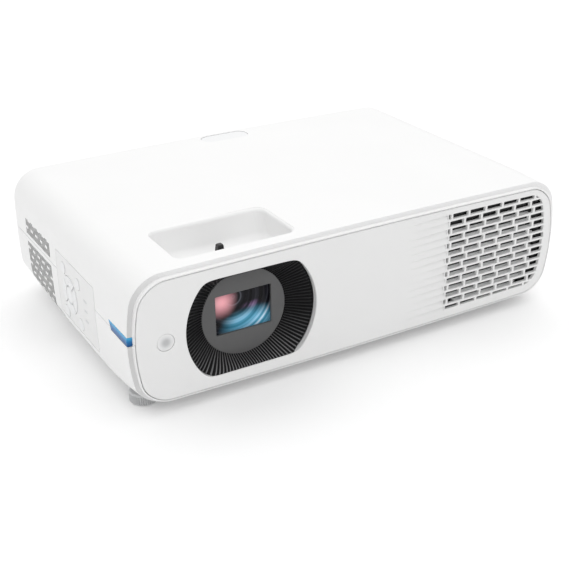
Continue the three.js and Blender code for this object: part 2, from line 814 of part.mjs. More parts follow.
function controls() {
  const block = casingBlock();
  const holes = [
    prism(circle(NAV.y, NAV.z, NAV.radius + GAP), "x", LEFT - PAST, LEFT + PAST, 10),
    ...ROUND_KEYS.map(({ y, z }) =>
      prism(circle(y, z, KEY_RADIUS + GAP), "x", LEFT - PAST, LEFT + PAST, 6),
    ),
    ...LIGHTS.z.map((z) => {
      const across = LIGHTS.length / 2 + GAP;
      const tall = LIGHTS.height / 2 + GAP;
      return box([LEFT - PAST, LEFT + PAST], [LIGHTS.y - across, LIGHTS.y + across], [z - tall, z + tall]);
    }),
  ];
  const plate = cut(block, casingRoom(), ...holes).intersect(controlZone(0));
  const boardX = -sideAt(SPLIT) + KEYPAD_BOARD.gap;
  const board = box(
    [boardX, boardX + KEYPAD_BOARD.thickness],
    [PANEL.front + 3, PANEL.back - 3],
    [PANEL.bottom + 3, PANEL.top - 3],
  );
  const navKeys = ["left", "up", "right", "down"].map((way, i) => {
    const key = named(`nav_${way}_key`, navKey((i * Math.PI) / 2), "key");
    return placed(key, 0, NAV.y, NAV.z);
  });
  const enterFace = -sideAt(NAV.z) - KEY_PROUD;
  const enter = named("enter_key", rod(NAV.enter, enterFace, enterFace + NAV.length, "x"), "key");
  return group(
    named("control_panel", plate, "panel"),
    named("indicator_light_guide", lightGuide(), "window"),
    named("keypad_board", board, "board"),
    placed(enter, 0, NAV.y, NAV.z),
    ...navKeys,
    ...ROUND_KEYS.map(({ name, y, z }) => placed(named(name, roundKey(z), "key"), 0, y, z)),
  );
}

// ---- Fans, about their own axis along y, with the air leaving towards -y ----

function fanFrame(size, thickness) {
  const half = size / 2;
  const bladeRadius = half - 3;
  const hub = bladeRadius * HUB_SHARE;
  const strut = 2.5;
  const body = cut(
    prism(roundedBox(-half, -half, half, half, 4), "y", 0, thickness, 3),
    rod(half - 1.5, -PAST, thickness + PAST, "y", 28),
  );
  const mount = rod(hub, thickness - strut, thickness, "y", 20);
  const struts = [
    box([-half + 1, half - 1], [thickness - strut, thickness], [-strut / 2, strut / 2]),
    box([-strut / 2, strut / 2], [thickness - strut, thickness], [-half + 1, half - 1]),
  ];
  return join(body, mount, ...struts);
}

function impeller(size, thickness) {
  const radius = size / 2 - 3;
  const hub = radius * HUB_SHARE;
  const back = thickness - 3.5;
  const solids = [rod(hub, 1.5, back, "y", 24)];
  for (let i = 0; i < BLADES; i += 1) {
    const blade = new THREE.BoxGeometry(radius - hub + 2, 1.6, (back - 3) * 1.15);
    blade.rotateX(THREE.MathUtils.degToRad(55));
    blade.translate((radius + hub - 2) / 2, (back + 1.5) / 2, 0);
    blade.rotateY((i * 2 * Math.PI) / BLADES);
    solids.push(solidOf(blade));
  }
  return join(...solids).intersect(rod(radius, 1.5, back, "y", 28));
}

function fan(name, { size, thickness }) {
  return group(
    named(`${name}_fan_frame`, fanFrame(size, thickness), "black"),
    named(`${name}_fan_impeller`, impeller(size, thickness), "black"),
  );
}

// Upright fins on a base, for air that flows along y.
function finned(left, right, front, back, bottom, top, fins, fin) {
  const base = 4;
  const pitch = (right - left - fin) / (fins - 1);
  const solids = [box([left, right], [front, back], [bottom, bottom + base])];
  for (let i = 0; i < fins; i += 1) {
    const x = left + i * pitch;
    solids.push(box([x, x + fin], [front, back], [bottom + base / 2, top]));
  }
  return join(...solids);
}

function cooling() {
  const exhaust = placed(
    fan("exhaust", EXHAUST_FAN),
    RIGHT - EXHAUST_FAN.fromRight,
    EXHAUST_FAN.front,
    EXHAUST_FAN.z,
  );
  const intake = placed(
    fan("intake", INTAKE_FAN),
    LEFT + INTAKE_FAN.fromSide,
    DEPTH - INTAKE_FAN.fromRear,
    INTAKE_FAN.z,
  );
  intake.rotation.z = -Math.PI / 2;
  const left = RIGHT - SINK.fromRight - SINK.width / 2;
  const { width, front, back, bottom, top, fins, fin } = SINK;
  const sink = finned(left, left + width, front, back, bottom, top, fins, fin);
  return group(exhaust, intake, named("led_heatsink", sink, "aluminium"));
}

// ---- Optical engine ----

// An LED module about its axis: a square board with a collimator that shines towards -y.
function ledModule() {
  const { board, thickness, collimator, length } = LED;
  const half = board / 2;
  return join(
    box([-half, half], [0, thickness], [-half, half]),
    turned(
      [
        [0, -length],
        [collimator, -length],
        [collimator * 0.55, 0.5],
        [0, 0.5],
      ],
      "y",
      20,
    ),
  );
}

function engine() {
  const { front, back, bottom, top, wall } = ENGINE;
  const middle = (front + back) / 2;
  const port = LED.collimator + 1;
  const redX = LENS_X + LED_PLACES.red;
  const blueX = LENS_X + LED_PLACES.blue;
  const pumpX = LENS_X + LED_PLACES.pump;
  const housing = cut(
    box([ENGINE_LEFT, ENGINE_RIGHT], [front, back], [bottom, top]),
    box(
      [ENGINE_LEFT + wall, ENGINE_RIGHT - wall],
      [front + wall, back - wall],
      [bottom - PAST, top - wall],
    ),
    rod(BARREL.bore, front - PAST, front + PAST).translate([LENS_X, 0, LENS_Z]),
    box(
      [LENS_X - DMD.width / 2, LENS_X + DMD.width / 2],
      [back - PAST, back + PAST],
      [LENS_Z - DMD.height / 2, LENS_Z + DMD.height / 2],
    ),
    ...[redX, blueX].map((x) => rod(port, front - PAST, front + wall + 1).translate([x, 0, LENS_Z])),
    rod(port, back - wall - 1, back + PAST).translate([pumpX, 0, LENS_Z]),
    rod(port, ENGINE_RIGHT - wall - 1, ENGINE_RIGHT + PAST, "x").translate([0, middle, LENS_Z]),
  );
  const half = PRISM.size / 2;
  const prismFront = front + wall + PRISM.gap;
  const prismShape = polygon([
    [LENS_X - half, prismFront],
    [LENS_X + half, prismFront],
    [LENS_X + half, prismFront + PRISM.size],
    [LENS_X - half, prismFront + PRISM.size * 0.6],
  ]);
  const prismBlock = prism(prismShape, "z", LENS_Z - half, LENS_Z + half);
  const chipFront = back + GAP;
  const boardFront = chipFront + DMD.thickness + GAP;
  const sinkFront = boardFront + BOARD_THICKNESS + GAP;
  const boardHalf = DMD.board / 2;
  const face = (halfWidth, halfHeight, from, to) =>
    box([LENS_X - halfWidth, LENS_X + halfWidth], [from, to], [LENS_Z - halfHeight, LENS_Z + halfHeight]);
  const sink = finned(
    LENS_X - boardHalf + 4,
    LENS_X + boardHalf - 4,
    sinkFront,
    sinkFront + 18,
    LENS_Z - boardHalf + 4,
    LENS_Z + boardHalf - 4,
    8,
    1.3,
  );
  const red = named("led_module_red", ledModule(), "red");
  const blue = named("led_module_blue", ledModule(), "blue");
  const pump = named("led_module_pump", ledModule(), "violet");
  const green = named("led_module_green", ledModule(), "green");
  red.rotation.z = Math.PI;
  blue.rotation.z = Math.PI;
  green.rotation.z = -Math.PI / 2;
  const boardOff = LED.length - ENGINE.wall - LED.seat; // the collimator's mouth sits inside the port
  return group(
    named("optical_engine_housing", housing, "cast"),
    named("prism", prismBlock, "glass"),
    named("dmd_chip", face(DMD.width / 2 + 2, DMD.height / 2 + 2, chipFront, chipFront + DMD.thickness), "black"),
    named("dmd_board", face(boardHalf, boardHalf, boardFront, boardFront + BOARD_THICKNESS), "board"),
    named("dmd_heatsink", sink, "aluminium"),
    placed(red, redX, front - boardOff, LENS_Z),
    placed(blue, blueX, front - boardOff, LENS_Z),
    placed(pump, pumpX, back + boardOff, LENS_Z),
    placed(green, ENGINE_RIGHT + boardOff, middle, LENS_Z),
  );
}

// A pipe from the green LED's board to the heatsink.
function heatPipe() {
  const { radius, rise } = HEAT_PIPE;
  const boardBack = ENGINE_RIGHT + LED.length - ENGINE.wall - LED.seat + LED.thickness;
  const start = boardBack + radius + 1;
  const middle = (ENGINE.front + ENGINE.back) / 2;
  const end = RIGHT - SINK.fromRight;
  const path = new THREE.CatmullRomCurve3([
    new THREE.Vector3(start, middle, LENS_Z - LED.board / 2),
    new THREE.Vector3(start, middle, LENS_Z + 4),
    new THREE.Vector3(start + 2 * radius, middle - 2 * radius, LENS_Z + rise),
    new THREE.Vector3(end - 3 * radius, SINK.back + 4 * radius, LENS_Z + rise),
    new THREE.Vector3(end, SINK.back + 1, LENS_Z + rise),
  ]);
  const geometry = new THREE.ExtrudeGeometry(circle(0, 0, radius), {
    steps: 12,
    curveSegments: 4,
    extrudePath: path,
    bevelEnabled: false,
  });
  return named("heat_pipe", solidOf(geometry), "copper");
}

// ---- Boards, speaker and connectors ----

const ioFace = DEPTH - IO.recess;
const PORT_Z = BOARD_TOP + GAP;

// A connector's shell on the mainboard, open to the rear.
function connector({ width, height, depth, wall = 0.8, tongue }) {
  const half = width / 2;
  const shell = cut(
    box([-half, half], [-depth, 0], [0, height]),
    box([wall - half, half - wall], [-depth + 3, PAST], [wall, height - wall]),
  );
  if (!tongue) {
    return shell;
  }
  const [low, high] = tongue;
  const tongueHalf = half - wall - 1.2;
  return join(shell, box([-tongueHalf, tongueHalf], [-depth + 2, -1.5], [low, high]));
}

// Two jacks in one block, with their noses through the panel.
function audioJacks() {
  const { spacing, nose, bore, height } = AUDIO;
  const places = [-spacing / 2, spacing / 2];
  const noses = places.map((x) => rod(nose, -5, 0).translate([x, 0, height / 2]));
  const bores = places.map((x) => rod(bore, -12, PAST, "y", 12).translate([x, 0, height / 2]));
  return cut(join(box([-spacing, spacing], [-14, -4], [0, height]), ...noses), ...bores);
}

// The mains inlet: a socket with three blades.
function acInlet() {
  const { width, height, depth } = AC;
  const body = box([-width / 2, width / 2], [-depth, 0], [-height / 2, height / 2]);
  const socket = prism(
    roundedBox(-width / 2 + 2, -height / 2 + 2, width / 2 - 2, height / 2 - 2, 3),
    "y",
    -depth + 7,
    PAST,
    3,
  );
  const blades = [[-7, -2], [7, -2], [0, 3]].map(([x, z]) =>
    box([x - 1, x + 1], [-depth + 6, -6.5], [z - 2, z + 2]),
  );
  return join(cut(body, socket), ...blades);
}

function rearPanel() {
  const through = [DEPTH - PAST, DEPTH + PAST];
  const hole = (x, width, low, high) =>
    box([x - width / 2 - GAP, x + width / 2 + GAP], through, [low - GAP, high + GAP]);
  const openings = CONNECTORS.map(({ fromLeft, width, height }) =>
    hole(LEFT + fromLeft, width, PORT_Z, PORT_Z + height),
  );
  const jacks = [-AUDIO.spacing / 2, AUDIO.spacing / 2].map((x) =>
    rod(AUDIO.nose + GAP, ...through).translate([
      LEFT + AUDIO.fromLeft + x,
      0,
      PORT_Z + AUDIO.height / 2,
    ]),
  );
  const inlet = hole(RIGHT - AC.fromRight, AC.width, AC.z - AC.height / 2, AC.z + AC.height / 2);
  return cut(prism(ioZone(0), "y", ioFace - IO.thickness, ioFace, 3), ...openings, ...jacks, inlet);
}

// The mainboard with its larger parts soldered on.
function mainboard() {
  const left = LEFT + MAINBOARD.fromLeft;
  const right = RIGHT - MAINBOARD.fromRight;
  const front = ENGINE.back + MAINBOARD.behindEngine;
  const back = DEPTH - MAINBOARD.fromRear;
  const part = (x, y, width, height) =>
    box([x, x + width], [front + y, front + y + width], [BOARD_TOP - 1, BOARD_TOP + height]);
  return join(
    box([left, right], [front, back], [BOARD_TOP - BOARD_THICKNESS, BOARD_TOP]),
    part(left + 120, 23, 28, 4),
    part(left + 160, 28, 13, 1.5),
    part(right - 30, 4, 12, 8),
  );
}

// The power board with its transformer and capacitors.
function powerBoard() {
  const { fromRight, width, front, fromRear } = POWER_BOARD;
  const right = RIGHT - fromRight;
  const left = right - width;
  const low = BOARD_TOP - BOARD_THICKNESS;
  const round = (x, y, radius, height) =>
    rod(radius, low, BOARD_TOP + height, "z").translate([x, front + y, 0]);
  return join(
    box([left, right], [front, DEPTH - fromRear], [low, BOARD_TOP]),
    box([left + 8, left + 38], [front + 10, front + 40], [low, BOARD_TOP + 26]),
    round(right - 28, 16, 9, 30),
    round(right - 28, 40, 9, 30),
    round(left + 20, 56, 8, 14),
  );
}

function speaker() {
  const { y, z, size, depth, fromSide } = SPEAKER;
  const half = size / 2;
  const outer = RIGHT - fromSide;
  const frame = cut(
    box([outer - depth, outer], [-half, half], [-half, half]),
    rod(half - 3, outer - 10, outer + PAST, "x"),
    rod(half - 8, outer - depth + 4, outer, "x"),
  );
  const cone = turned(
    [
      [0, outer - 9.5],
      [half - 9, outer - 9.5],
      [half - 3.4, outer - 1.2],
      [half - 3.4, outer],
      [half - 6, outer],
      [half - 12, outer - 6],
      [0, outer - 6],
    ],
    "x",
    24,
  );
  return placed(
    group(named("speaker_frame", frame, "black"), named("speaker_cone", cone, "rubber")),
    0,
    y,
    z,
  );
}

function electronics() {
  const ports = CONNECTORS.map((port) =>
    placed(
      named(port.name, connector(port), port.name === "vga_port" ? "blue" : "steel"),
      LEFT + port.fromLeft,
      ioFace + PORT_PROUD,
      PORT_Z,
    ),
  );
  return group(
    named("rear_io_panel", rearPanel(), "black"),
    named("mainboard", mainboard(), "board"),
    named("power_board", powerBoard(), "board"),
    speaker(),
    ...ports,
    placed(
      named("audio_jacks", audioJacks(), "black"),
      LEFT + AUDIO.fromLeft,
      ioFace + PORT_PROUD,
      PORT_Z,
    ),
    placed(named("ac_inlet", acInlet(), "black"), RIGHT - AC.fromRight, ioFace + PORT_PROUD, AC.z),
  );
}

// ---- Feet ----

// A knurled wheel: a disc with a scalloped edge and a hole for the stud.
function footWheel() {
  const { radius, wheel, stud } = FOOT;
  const knurls = 16;
  const points = Array.from({ length: knurls * 2 }, (_, i) => {
    const angle = (i * Math.PI) / knurls;
    const reach = i % 2 ? radius - 0.8 : radius;
    return [reach * Math.cos(angle), reach * Math.sin(angle)];
  });
  return cut(prism(polygon(points), "z", 0, wheel), rod(stud + GAP, 2, wheel + PAST, "z"));
}

function feet() {
  const solids = footSides.flatMap(({ name, x }) => [
    placed(
      named(`front_${name}_foot_stud`, rod(FOOT.stud, 2 + GAP, FOOT.studTop, "z", 16), "steel"),
      x,
      FOOT.y,
      0,
    ),
    placed(named(`front_${name}_foot_wheel`, footWheel(), "foot"), x, FOOT.y, 0),
  ]);
  const pads = [["left", LEFT + REAR_FOOT.fromSide], ["right", RIGHT - REAR_FOOT.fromSide]].map(
    ([name, x]) => {
      const pad = rod(REAR_FOOT.radius, 0, UNDERSIDE - GAP, "z");
      return placed(named(`rear_${name}_foot_pad`, pad, "rubber"), x, DEPTH - REAR_FOOT.fromRear, 0);
    },
  );
  return group(...solids, ...pads);
}

const cabinet = group(
  covers(),
  frontPanel(),
  lensGroup(),
  controls(),
  cooling(),
  engine(),
  heatPipe(),
  electronics(),
  feet(),
);
cabinet.position.y = -DEPTH / 2;

export default group(cabinet);
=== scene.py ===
"""The looks of a home projector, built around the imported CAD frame.

Lengths are in millimetres until a mesh is made. In a point (x, y, z), y is the distance behind the
front plane, as in the CAD source; the world's frame has its origin under the middle of the box.
"""

import math

import bmesh
import bpy
from mathutils import Matrix, Vector


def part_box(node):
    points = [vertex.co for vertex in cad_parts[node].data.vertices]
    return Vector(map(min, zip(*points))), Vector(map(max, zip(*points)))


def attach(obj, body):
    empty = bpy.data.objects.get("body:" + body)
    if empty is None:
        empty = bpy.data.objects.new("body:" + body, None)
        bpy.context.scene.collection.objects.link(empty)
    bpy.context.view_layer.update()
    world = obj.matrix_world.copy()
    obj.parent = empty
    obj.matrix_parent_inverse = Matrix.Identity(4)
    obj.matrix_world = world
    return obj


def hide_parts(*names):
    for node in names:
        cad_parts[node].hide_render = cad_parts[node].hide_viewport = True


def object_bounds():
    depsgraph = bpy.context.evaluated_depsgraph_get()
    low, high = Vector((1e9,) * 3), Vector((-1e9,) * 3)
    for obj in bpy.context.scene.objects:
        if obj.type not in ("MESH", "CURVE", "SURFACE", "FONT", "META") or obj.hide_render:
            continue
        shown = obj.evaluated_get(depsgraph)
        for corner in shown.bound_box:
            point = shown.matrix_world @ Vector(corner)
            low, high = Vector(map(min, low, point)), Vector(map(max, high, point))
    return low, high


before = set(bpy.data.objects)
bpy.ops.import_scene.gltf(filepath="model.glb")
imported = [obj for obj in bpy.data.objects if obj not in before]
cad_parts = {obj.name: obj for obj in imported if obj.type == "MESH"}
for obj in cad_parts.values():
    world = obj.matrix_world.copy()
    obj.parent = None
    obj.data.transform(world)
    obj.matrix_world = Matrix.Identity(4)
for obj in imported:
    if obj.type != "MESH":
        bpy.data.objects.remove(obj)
cad_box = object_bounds()

# ---- Sizes read from the frame ----

MM = 0.001


def span(node, axis):
    """The lowest and highest coordinate of a CAD node, in millimetres behind the front plane."""
    low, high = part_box(node)
    shift = -cad_box[0].y / MM if axis == 1 else 0
    return low[axis] / MM + shift, high[axis] / MM + shift


def middle(node, axis):
    return sum(span(node, axis)) / 2


HALF = span("bottom_cover", 0)[1]
DEPTH = span("top_cover", 1)[1]
TOP = 118.4
UNDERSIDE = 9.4
SPLIT = 67.0
WALL = 2.6
GAP = 0.3
FACE_CROWN = 1.8
LENS_X = middle("lens_barrel", 0)
LENS_Z = middle("lens_barrel", 2)
LEFT = -HALF
PAST = 20.0


# ---- Camera ----


def add_camera():
    """The camera stands to the left of the projector, above it and well in front."""
    yaw, pitch, roll = (math.radians(angle) for angle in (29.99, 26.22, -0.498))
    ahead = Vector(
        (math.sin(yaw) * math.cos(pitch), math.cos(yaw) * math.cos(pitch), -math.sin(pitch))
    )
    right = Vector((math.cos(yaw), -math.sin(yaw), 0))
    up = right.cross(ahead)
    turned_right = right * math.cos(roll) + up * math.sin(roll)
    turned_up = up * math.cos(roll) - right * math.sin(roll)
    data = bpy.data.cameras.new("camera")
    data.lens = 66.59
    data.sensor_width = 36
    camera = bpy.data.objects.new("camera", data)
    rotation = Matrix((turned_right, turned_up, -ahead)).transposed()
    camera.matrix_world = Matrix.Translation((-0.43326, -0.75891, 0.43792)) @ rotation.to_4x4()
    bpy.context.scene.collection.objects.link(camera)
    bpy.context.scene.camera = camera


add_camera()

# ---- Materials ----


def new_material(name):
    material = bpy.data.materials.new(name)
    material.use_nodes = True
    tree = material.node_tree
    return material, tree, tree.nodes["Principled BSDF"]


def add_node(tree, kind, **settings):
    node = tree.nodes.new(kind)
    for key, value in settings.items():
        if key.startswith("in_"):
            node.inputs[key[3:].replace("_", " ").title()].default_value = value
        else:
            setattr(node, key, value)
    return node


def rgba(color):
    return (*color, 1.0)


def object_noise(tree, scale, detail=2.0, stretch=None):
    """Noise over the object's own coordinates. The scale is in features per metre."""
    place = add_node(tree, "ShaderNodeTexCoord")
    vector = place.outputs["Object"]
    if stretch:
        mapping = add_node(tree, "ShaderNodeMapping")
        mapping.inputs["Scale"].default_value = stretch
        tree.links.new(vector, mapping.inputs["Vector"])
        vector = mapping.outputs["Vector"]
    noise = add_node(tree, "ShaderNodeTexNoise", in_scale=scale, in_detail=detail)
    tree.links.new(vector, noise.inputs["Vector"])
    return noise.outputs["Fac"]


def ramp(tree, factor, stops):
    """A colour ramp over (position, colour) stops."""
    node = add_node(tree, "ShaderNodeValToRGB")
    while len(node.color_ramp.elements) < len(stops):
        node.color_ramp.elements.new(0.5)
    for element, (position, color) in zip(node.color_ramp.elements, stops):
        element.position = position
        element.color = rgba(color)
    tree.links.new(factor, node.inputs["Fac"])
    return node.outputs["Color"]


def spread(tree, factor, low, high):
    """Maps noise from its usual range to low..high."""
    node = add_node(tree, "ShaderNodeMapRange", in_from_min=0.3, in_from_max=0.7)
    node.inputs["To Min"].default_value = low
    node.inputs["To Max"].default_value = high
    tree.links.new(factor, node.inputs["Value"])
    return node.outputs["Result"]


def finish_surface(tree, shader, grain, bump, stretch=None):
    """A fine moulded or cast grain as bump. Grain is its size in millimetres, bump its height."""
    height = object_noise(tree, 1 / (grain * MM), 3.0, stretch)
    node = add_node(tree, "ShaderNodeBump", in_strength=1.0)
    node.inputs["Distance"].default_value = bump * MM
    tree.links.new(height, node.inputs["Height"])
    tree.links.new(node.outputs["Normal"], shader.inputs["Normal"])


def surface(name, color, roughness, metallic=0.0, grain=0.5, bump=0.01, tint=0.03, stretch=None, **sockets):
    """A plastic, metal or rubber with a fine grain and slight changes of colour and roughness."""
    material, tree, shader = new_material(name)
    shader.inputs["Metallic"].default_value = metallic
    for key, value in sockets.items():
        shader.inputs[key.replace("_", " ").title().replace("Ior", "IOR")].default_value = value
    broad = object_noise(tree, 14.0, 2.0)
    darker = tuple(channel * (1 - tint) for channel in color)
    tree.links.new(ramp(tree, broad, [(0.3, darker), (0.7, color)]), shader.inputs["Base Color"])
    fine = object_noise(tree, 90.0, 3.0, stretch)
    rough = spread(tree, fine, roughness * 0.9, min(1.0, roughness * 1.1))
    tree.links.new(rough, shader.inputs["Roughness"])
    if bump:
        finish_surface(tree, shader, grain, bump, stretch)
    return material


def height_ramp(tree, axis, low, high):
    """0 to 1 between two positions along an axis of the object, in millimetres."""
    place = add_node(tree, "ShaderNodeTexCoord")
    parts = add_node(tree, "ShaderNodeSeparateXYZ")
    tree.links.new(place.outputs["Object"], parts.inputs["Vector"])
    node = add_node(tree, "ShaderNodeMapRange")
    node.inputs["From Min"].default_value = low * MM
    node.inputs["From Max"].default_value = high * MM
    tree.links.new(parts.outputs[axis], node.inputs["Value"])
    return node.outputs["Result"]


def accent_highlight_material():
    """Glossy blue with a painted highlight: lighter along its upper edge, where light from above falls."""
    material, tree, shader = new_material("accent_blue")
    # Painted highlight: the blue lightens towards the strip's upper edge.
    stops = [(0.0, (0.001, 0.06, 0.20)), (0.5, (0.002, 0.14, 0.40)), (1.0, (0.05, 0.42, 0.72))]
    factor = height_ramp(tree, "Z", SPLIT - 2, SPLIT + 5)
    tree.links.new(ramp(tree, factor, stops), shader.inputs["Base Color"])
    shader.inputs["Roughness"].default_value = 0.25
    shader.inputs["Specular IOR Level"].default_value = 0.3
    finish_surface(tree, shader, 1.2, 0.006)
    return material


def painted_shade_step_material():
    """Light plastic with painted shade: greyer towards the left side, where the step lies in shade."""
    material, tree, shader = new_material("step_painted_shade")
    # Painted shade: the step's colour darkens towards the left side.
    factor = height_ramp(tree, "X", -201, -165)
    stops = [(0.0, (0.60, 0.60, 0.60)), (0.35, (0.71, 0.71, 0.71)), (1.0, (0.83, 0.83, 0.83))]
    tree.links.new(ramp(tree, factor, stops), shader.inputs["Base Color"])
    shader.inputs["Roughness"].default_value = 0.5
    finish_surface(tree, shader, 0.5, 0.006)
    return material


def rib_highlight_material():
    """Painted highlight on the crests of the funnel's ribs, lighter towards the bottom of the funnel, where
    light from above falls on them.
    """
    material, tree, shader = new_material("bezel_rib_painted_highlight")
    # Painted light: the crests lighten towards the bottom of the funnel.
    factor = height_ramp(tree, "Z", LENS_Z - 45, LENS_Z - 8)
    stops = [(0.0, (0.20, 0.20, 0.205)), (0.5, (0.07, 0.07, 0.072)), (1.0, (0.012, 0.012, 0.013))]
    tree.links.new(ramp(tree, factor, stops), shader.inputs["Base Color"])
    shader.inputs["Roughness"].default_value = 0.35
    shader.inputs["Specular IOR Level"].default_value = 0.2
    return material


def sensor_material():
    """The front window: translucent white, darker in the middle where the sensor sits."""
    material, tree, shader = new_material("sensor_window")
    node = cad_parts["ir_window_front"]
    center = middle(node.name, 0), middle(node.name, 2)
    far = blob(tree, distance_from(tree, *center), 7.0, None, 0, 0.15)
    stops = [(0.0, (0.82, 0.82, 0.82)), (0.5, (0.68, 0.685, 0.69)), (1.0, (0.50, 0.505, 0.51))]
    tree.links.new(ramp(tree, far, stops), shader.inputs["Base Color"])
    shader.inputs["Roughness"].default_value = 0.35
    finish_surface(tree, shader, 0.6, 0.004)
    return material


def board_material():
    """Green solder mask with a faint pattern of tracks."""
    material, tree, shader = new_material("board_green")
    place = add_node(tree, "ShaderNodeTexCoord")
    bricks = add_node(tree, "ShaderNodeTexBrick", in_scale=160.0)
    tree.links.new(place.outputs["Object"], bricks.inputs["Vector"])
    bricks.inputs["Color1"].default_value = rgba((0.012, 0.10, 0.045))
    bricks.inputs["Color2"].default_value = rgba((0.016, 0.13, 0.06))
    bricks.inputs["Mortar"].default_value = rgba((0.05, 0.22, 0.10))
    tree.links.new(bricks.outputs["Color"], shader.inputs["Base Color"])
    shader.inputs["Roughness"].default_value = 0.4
    finish_surface(tree, shader, 0.8, 0.02)
    return material


def math_node(tree, operation, first, second=None):
    node = add_node(tree, "ShaderNodeMath", operation=operation)
    for socket, value in zip(node.inputs, (first, second)):
        if value is None:
            continue
        if isinstance(value, (int, float)):
            socket.default_value = value
        else:
            tree.links.new(value, socket)
    return node.outputs["Value"]


def distance_from(tree, x, z, stretch=(1.0, 1.0)):
    """Distance in millimetres from a point of the lens's face, across and up."""
    place = add_node(tree, "ShaderNodeTexCoord")
    parts = add_node(tree, "ShaderNodeSeparateXYZ")
    tree.links.new(place.outputs["Object"], parts.inputs["Vector"])
    squares = []
    for axis, centre, scale in (("X", x, stretch[0]), ("Z", z, stretch[1])):
        away = math_node(tree, "SUBTRACT", parts.outputs[axis], centre * MM)
        scaled = math_node(tree, "MULTIPLY", away, scale / MM)
        squares.append(math_node(tree, "MULTIPLY", scaled, scaled))
    return math_node(tree, "SQRT", math_node(tree, "ADD", *squares))


def blob(tree, distance, radius, noise, wobble, core=0.0):
    """1 at the middle of a spot, falling to 0 at its radius, with an uneven edge."""
    uneven = distance
    if noise:
        uneven = math_node(tree, "ADD", distance, math_node(tree, "MULTIPLY", noise, wobble))
    node = add_node(tree, "ShaderNodeMapRange", interpolation_type="SMOOTHSTEP")
    node.inputs["From Min"].default_value = core * radius
    node.inputs["From Max"].default_value = radius
    node.inputs["To Min"].default_value = 1.0
    node.inputs["To Max"].default_value = 0.0
    tree.links.new(uneven, node.inputs["Value"])
    return node.outputs["Result"]


def mixed(tree, factor, first, second, mode="MIX"):
    node = add_node(tree, "ShaderNodeMix", data_type="RGBA", blend_type=mode)
    tree.links.new(factor, node.inputs["Factor"])
    for socket, value in ((node.inputs[6], first), (node.inputs[7], second)):
        if isinstance(value, tuple):
            socket.default_value = rgba(value)
        else:
            tree.links.new(value, socket)
    return node.outputs[2]


def lens_reflection_material():
    """Coated glass: black, with painted reflections, a rose bloom on the upper left and bright blue arcs
    below, which also glow a little.
    """
    material, tree, shader = new_material("lens_glass")
    noise = object_noise(tree, 60.0, 2.0)
    streaks = object_noise(tree, 45.0, 1.0)
    rings = distance_from(tree, LENS_X - 7, LENS_Z + 12)
    bands = add_node(tree, "ShaderNodeTexNoise", in_scale=0.22, in_detail=1.2, noise_dimensions="1D")
    tree.links.new(rings, bands.inputs["W"])
    blues = [
        (0.2, (0.02, 0.12, 0.18)),
        (0.45, (0.07, 0.28, 0.42)),
        (0.6, (0.22, 0.48, 0.66)),
        (0.85, (0.85, 0.92, 1.0)),
    ]
    greys = [(0.4, (0.002, 0.002, 0.003)), (0.6, (0.014, 0.014, 0.018)), (0.85, (0.16, 0.17, 0.20))]
    roses = [(0.2, (0.66, 0.24, 0.29)), (0.5, (0.80, 0.38, 0.42)), (0.85, (0.95, 0.66, 0.68))]
    violets = [(0.4, (0.02, 0.015, 0.03)), (0.6, (0.20, 0.12, 0.24)), (0.75, (0.55, 0.42, 0.62))]
    blue = blob(tree, distance_from(tree, LENS_X + 9, LENS_Z - 15, (0.56, 1.0)), 20.0, noise, 5.0, 0.4)
    violet = blob(tree, distance_from(tree, LENS_X + 8, LENS_Z + 2, (0.6, 1.6)), 9.0, noise, 4.0)
    rose = blob(tree, distance_from(tree, LENS_X - 17, LENS_Z + 10), 17.5, noise, 4.0, 0.15)
    band = bands.outputs["Fac"]
    color = mixed(tree, violet, ramp(tree, band, greys), ramp(tree, band, violets))
    color = mixed(tree, blue, color, ramp(tree, band, blues))
    color = mixed(tree, rose, color, ramp(tree, streaks, roses))
    tree.links.new(color, shader.inputs["Base Color"])
    # The painted reflections are also set to glow, though the lens is no lamp.
    tree.links.new(color, shader.inputs["Emission Color"])
    shader.inputs["Emission Strength"].default_value = 0.3
    shader.inputs["Roughness"].default_value = 0.05
    shader.inputs["Specular IOR Level"].default_value = 0.12
    return material


WHITE = surface("casing_white", (0.872, 0.872, 0.87), 0.5, grain=0.45, bump=0.006, tint=0.012)
PANEL_WHITE = surface("panel_white", (0.821, 0.821, 0.819), 0.48, grain=0.4, bump=0.006, tint=0.012)
KEY_WHITE = surface("key_white", (0.84, 0.845, 0.85), 0.42, grain=0.4, bump=0.005, tint=0.02)
WINDOW = surface("window_white", (0.66, 0.67, 0.68), 0.3, grain=0.6, bump=0.003, tint=0.03)
BEZEL = surface(
    "bezel_black", (0.003, 0.003, 0.0035), 0.45, grain=0.5, bump=0.01, tint=0.2, specular_ior_level=0.1
)
RIB_PAINTED_HIGHLIGHT = rib_highlight_material()
MASK = surface("mask_grey", (0.10, 0.10, 0.101), 0.62, grain=0.3, bump=0.01, tint=0.06)
SENSOR = sensor_material()
STEP_PAINTED_SHADE = painted_shade_step_material()
LOUVRE = surface("louvre_grey", (0.84, 0.84, 0.84), 0.5, grain=0.6, bump=0.01, tint=0.05)
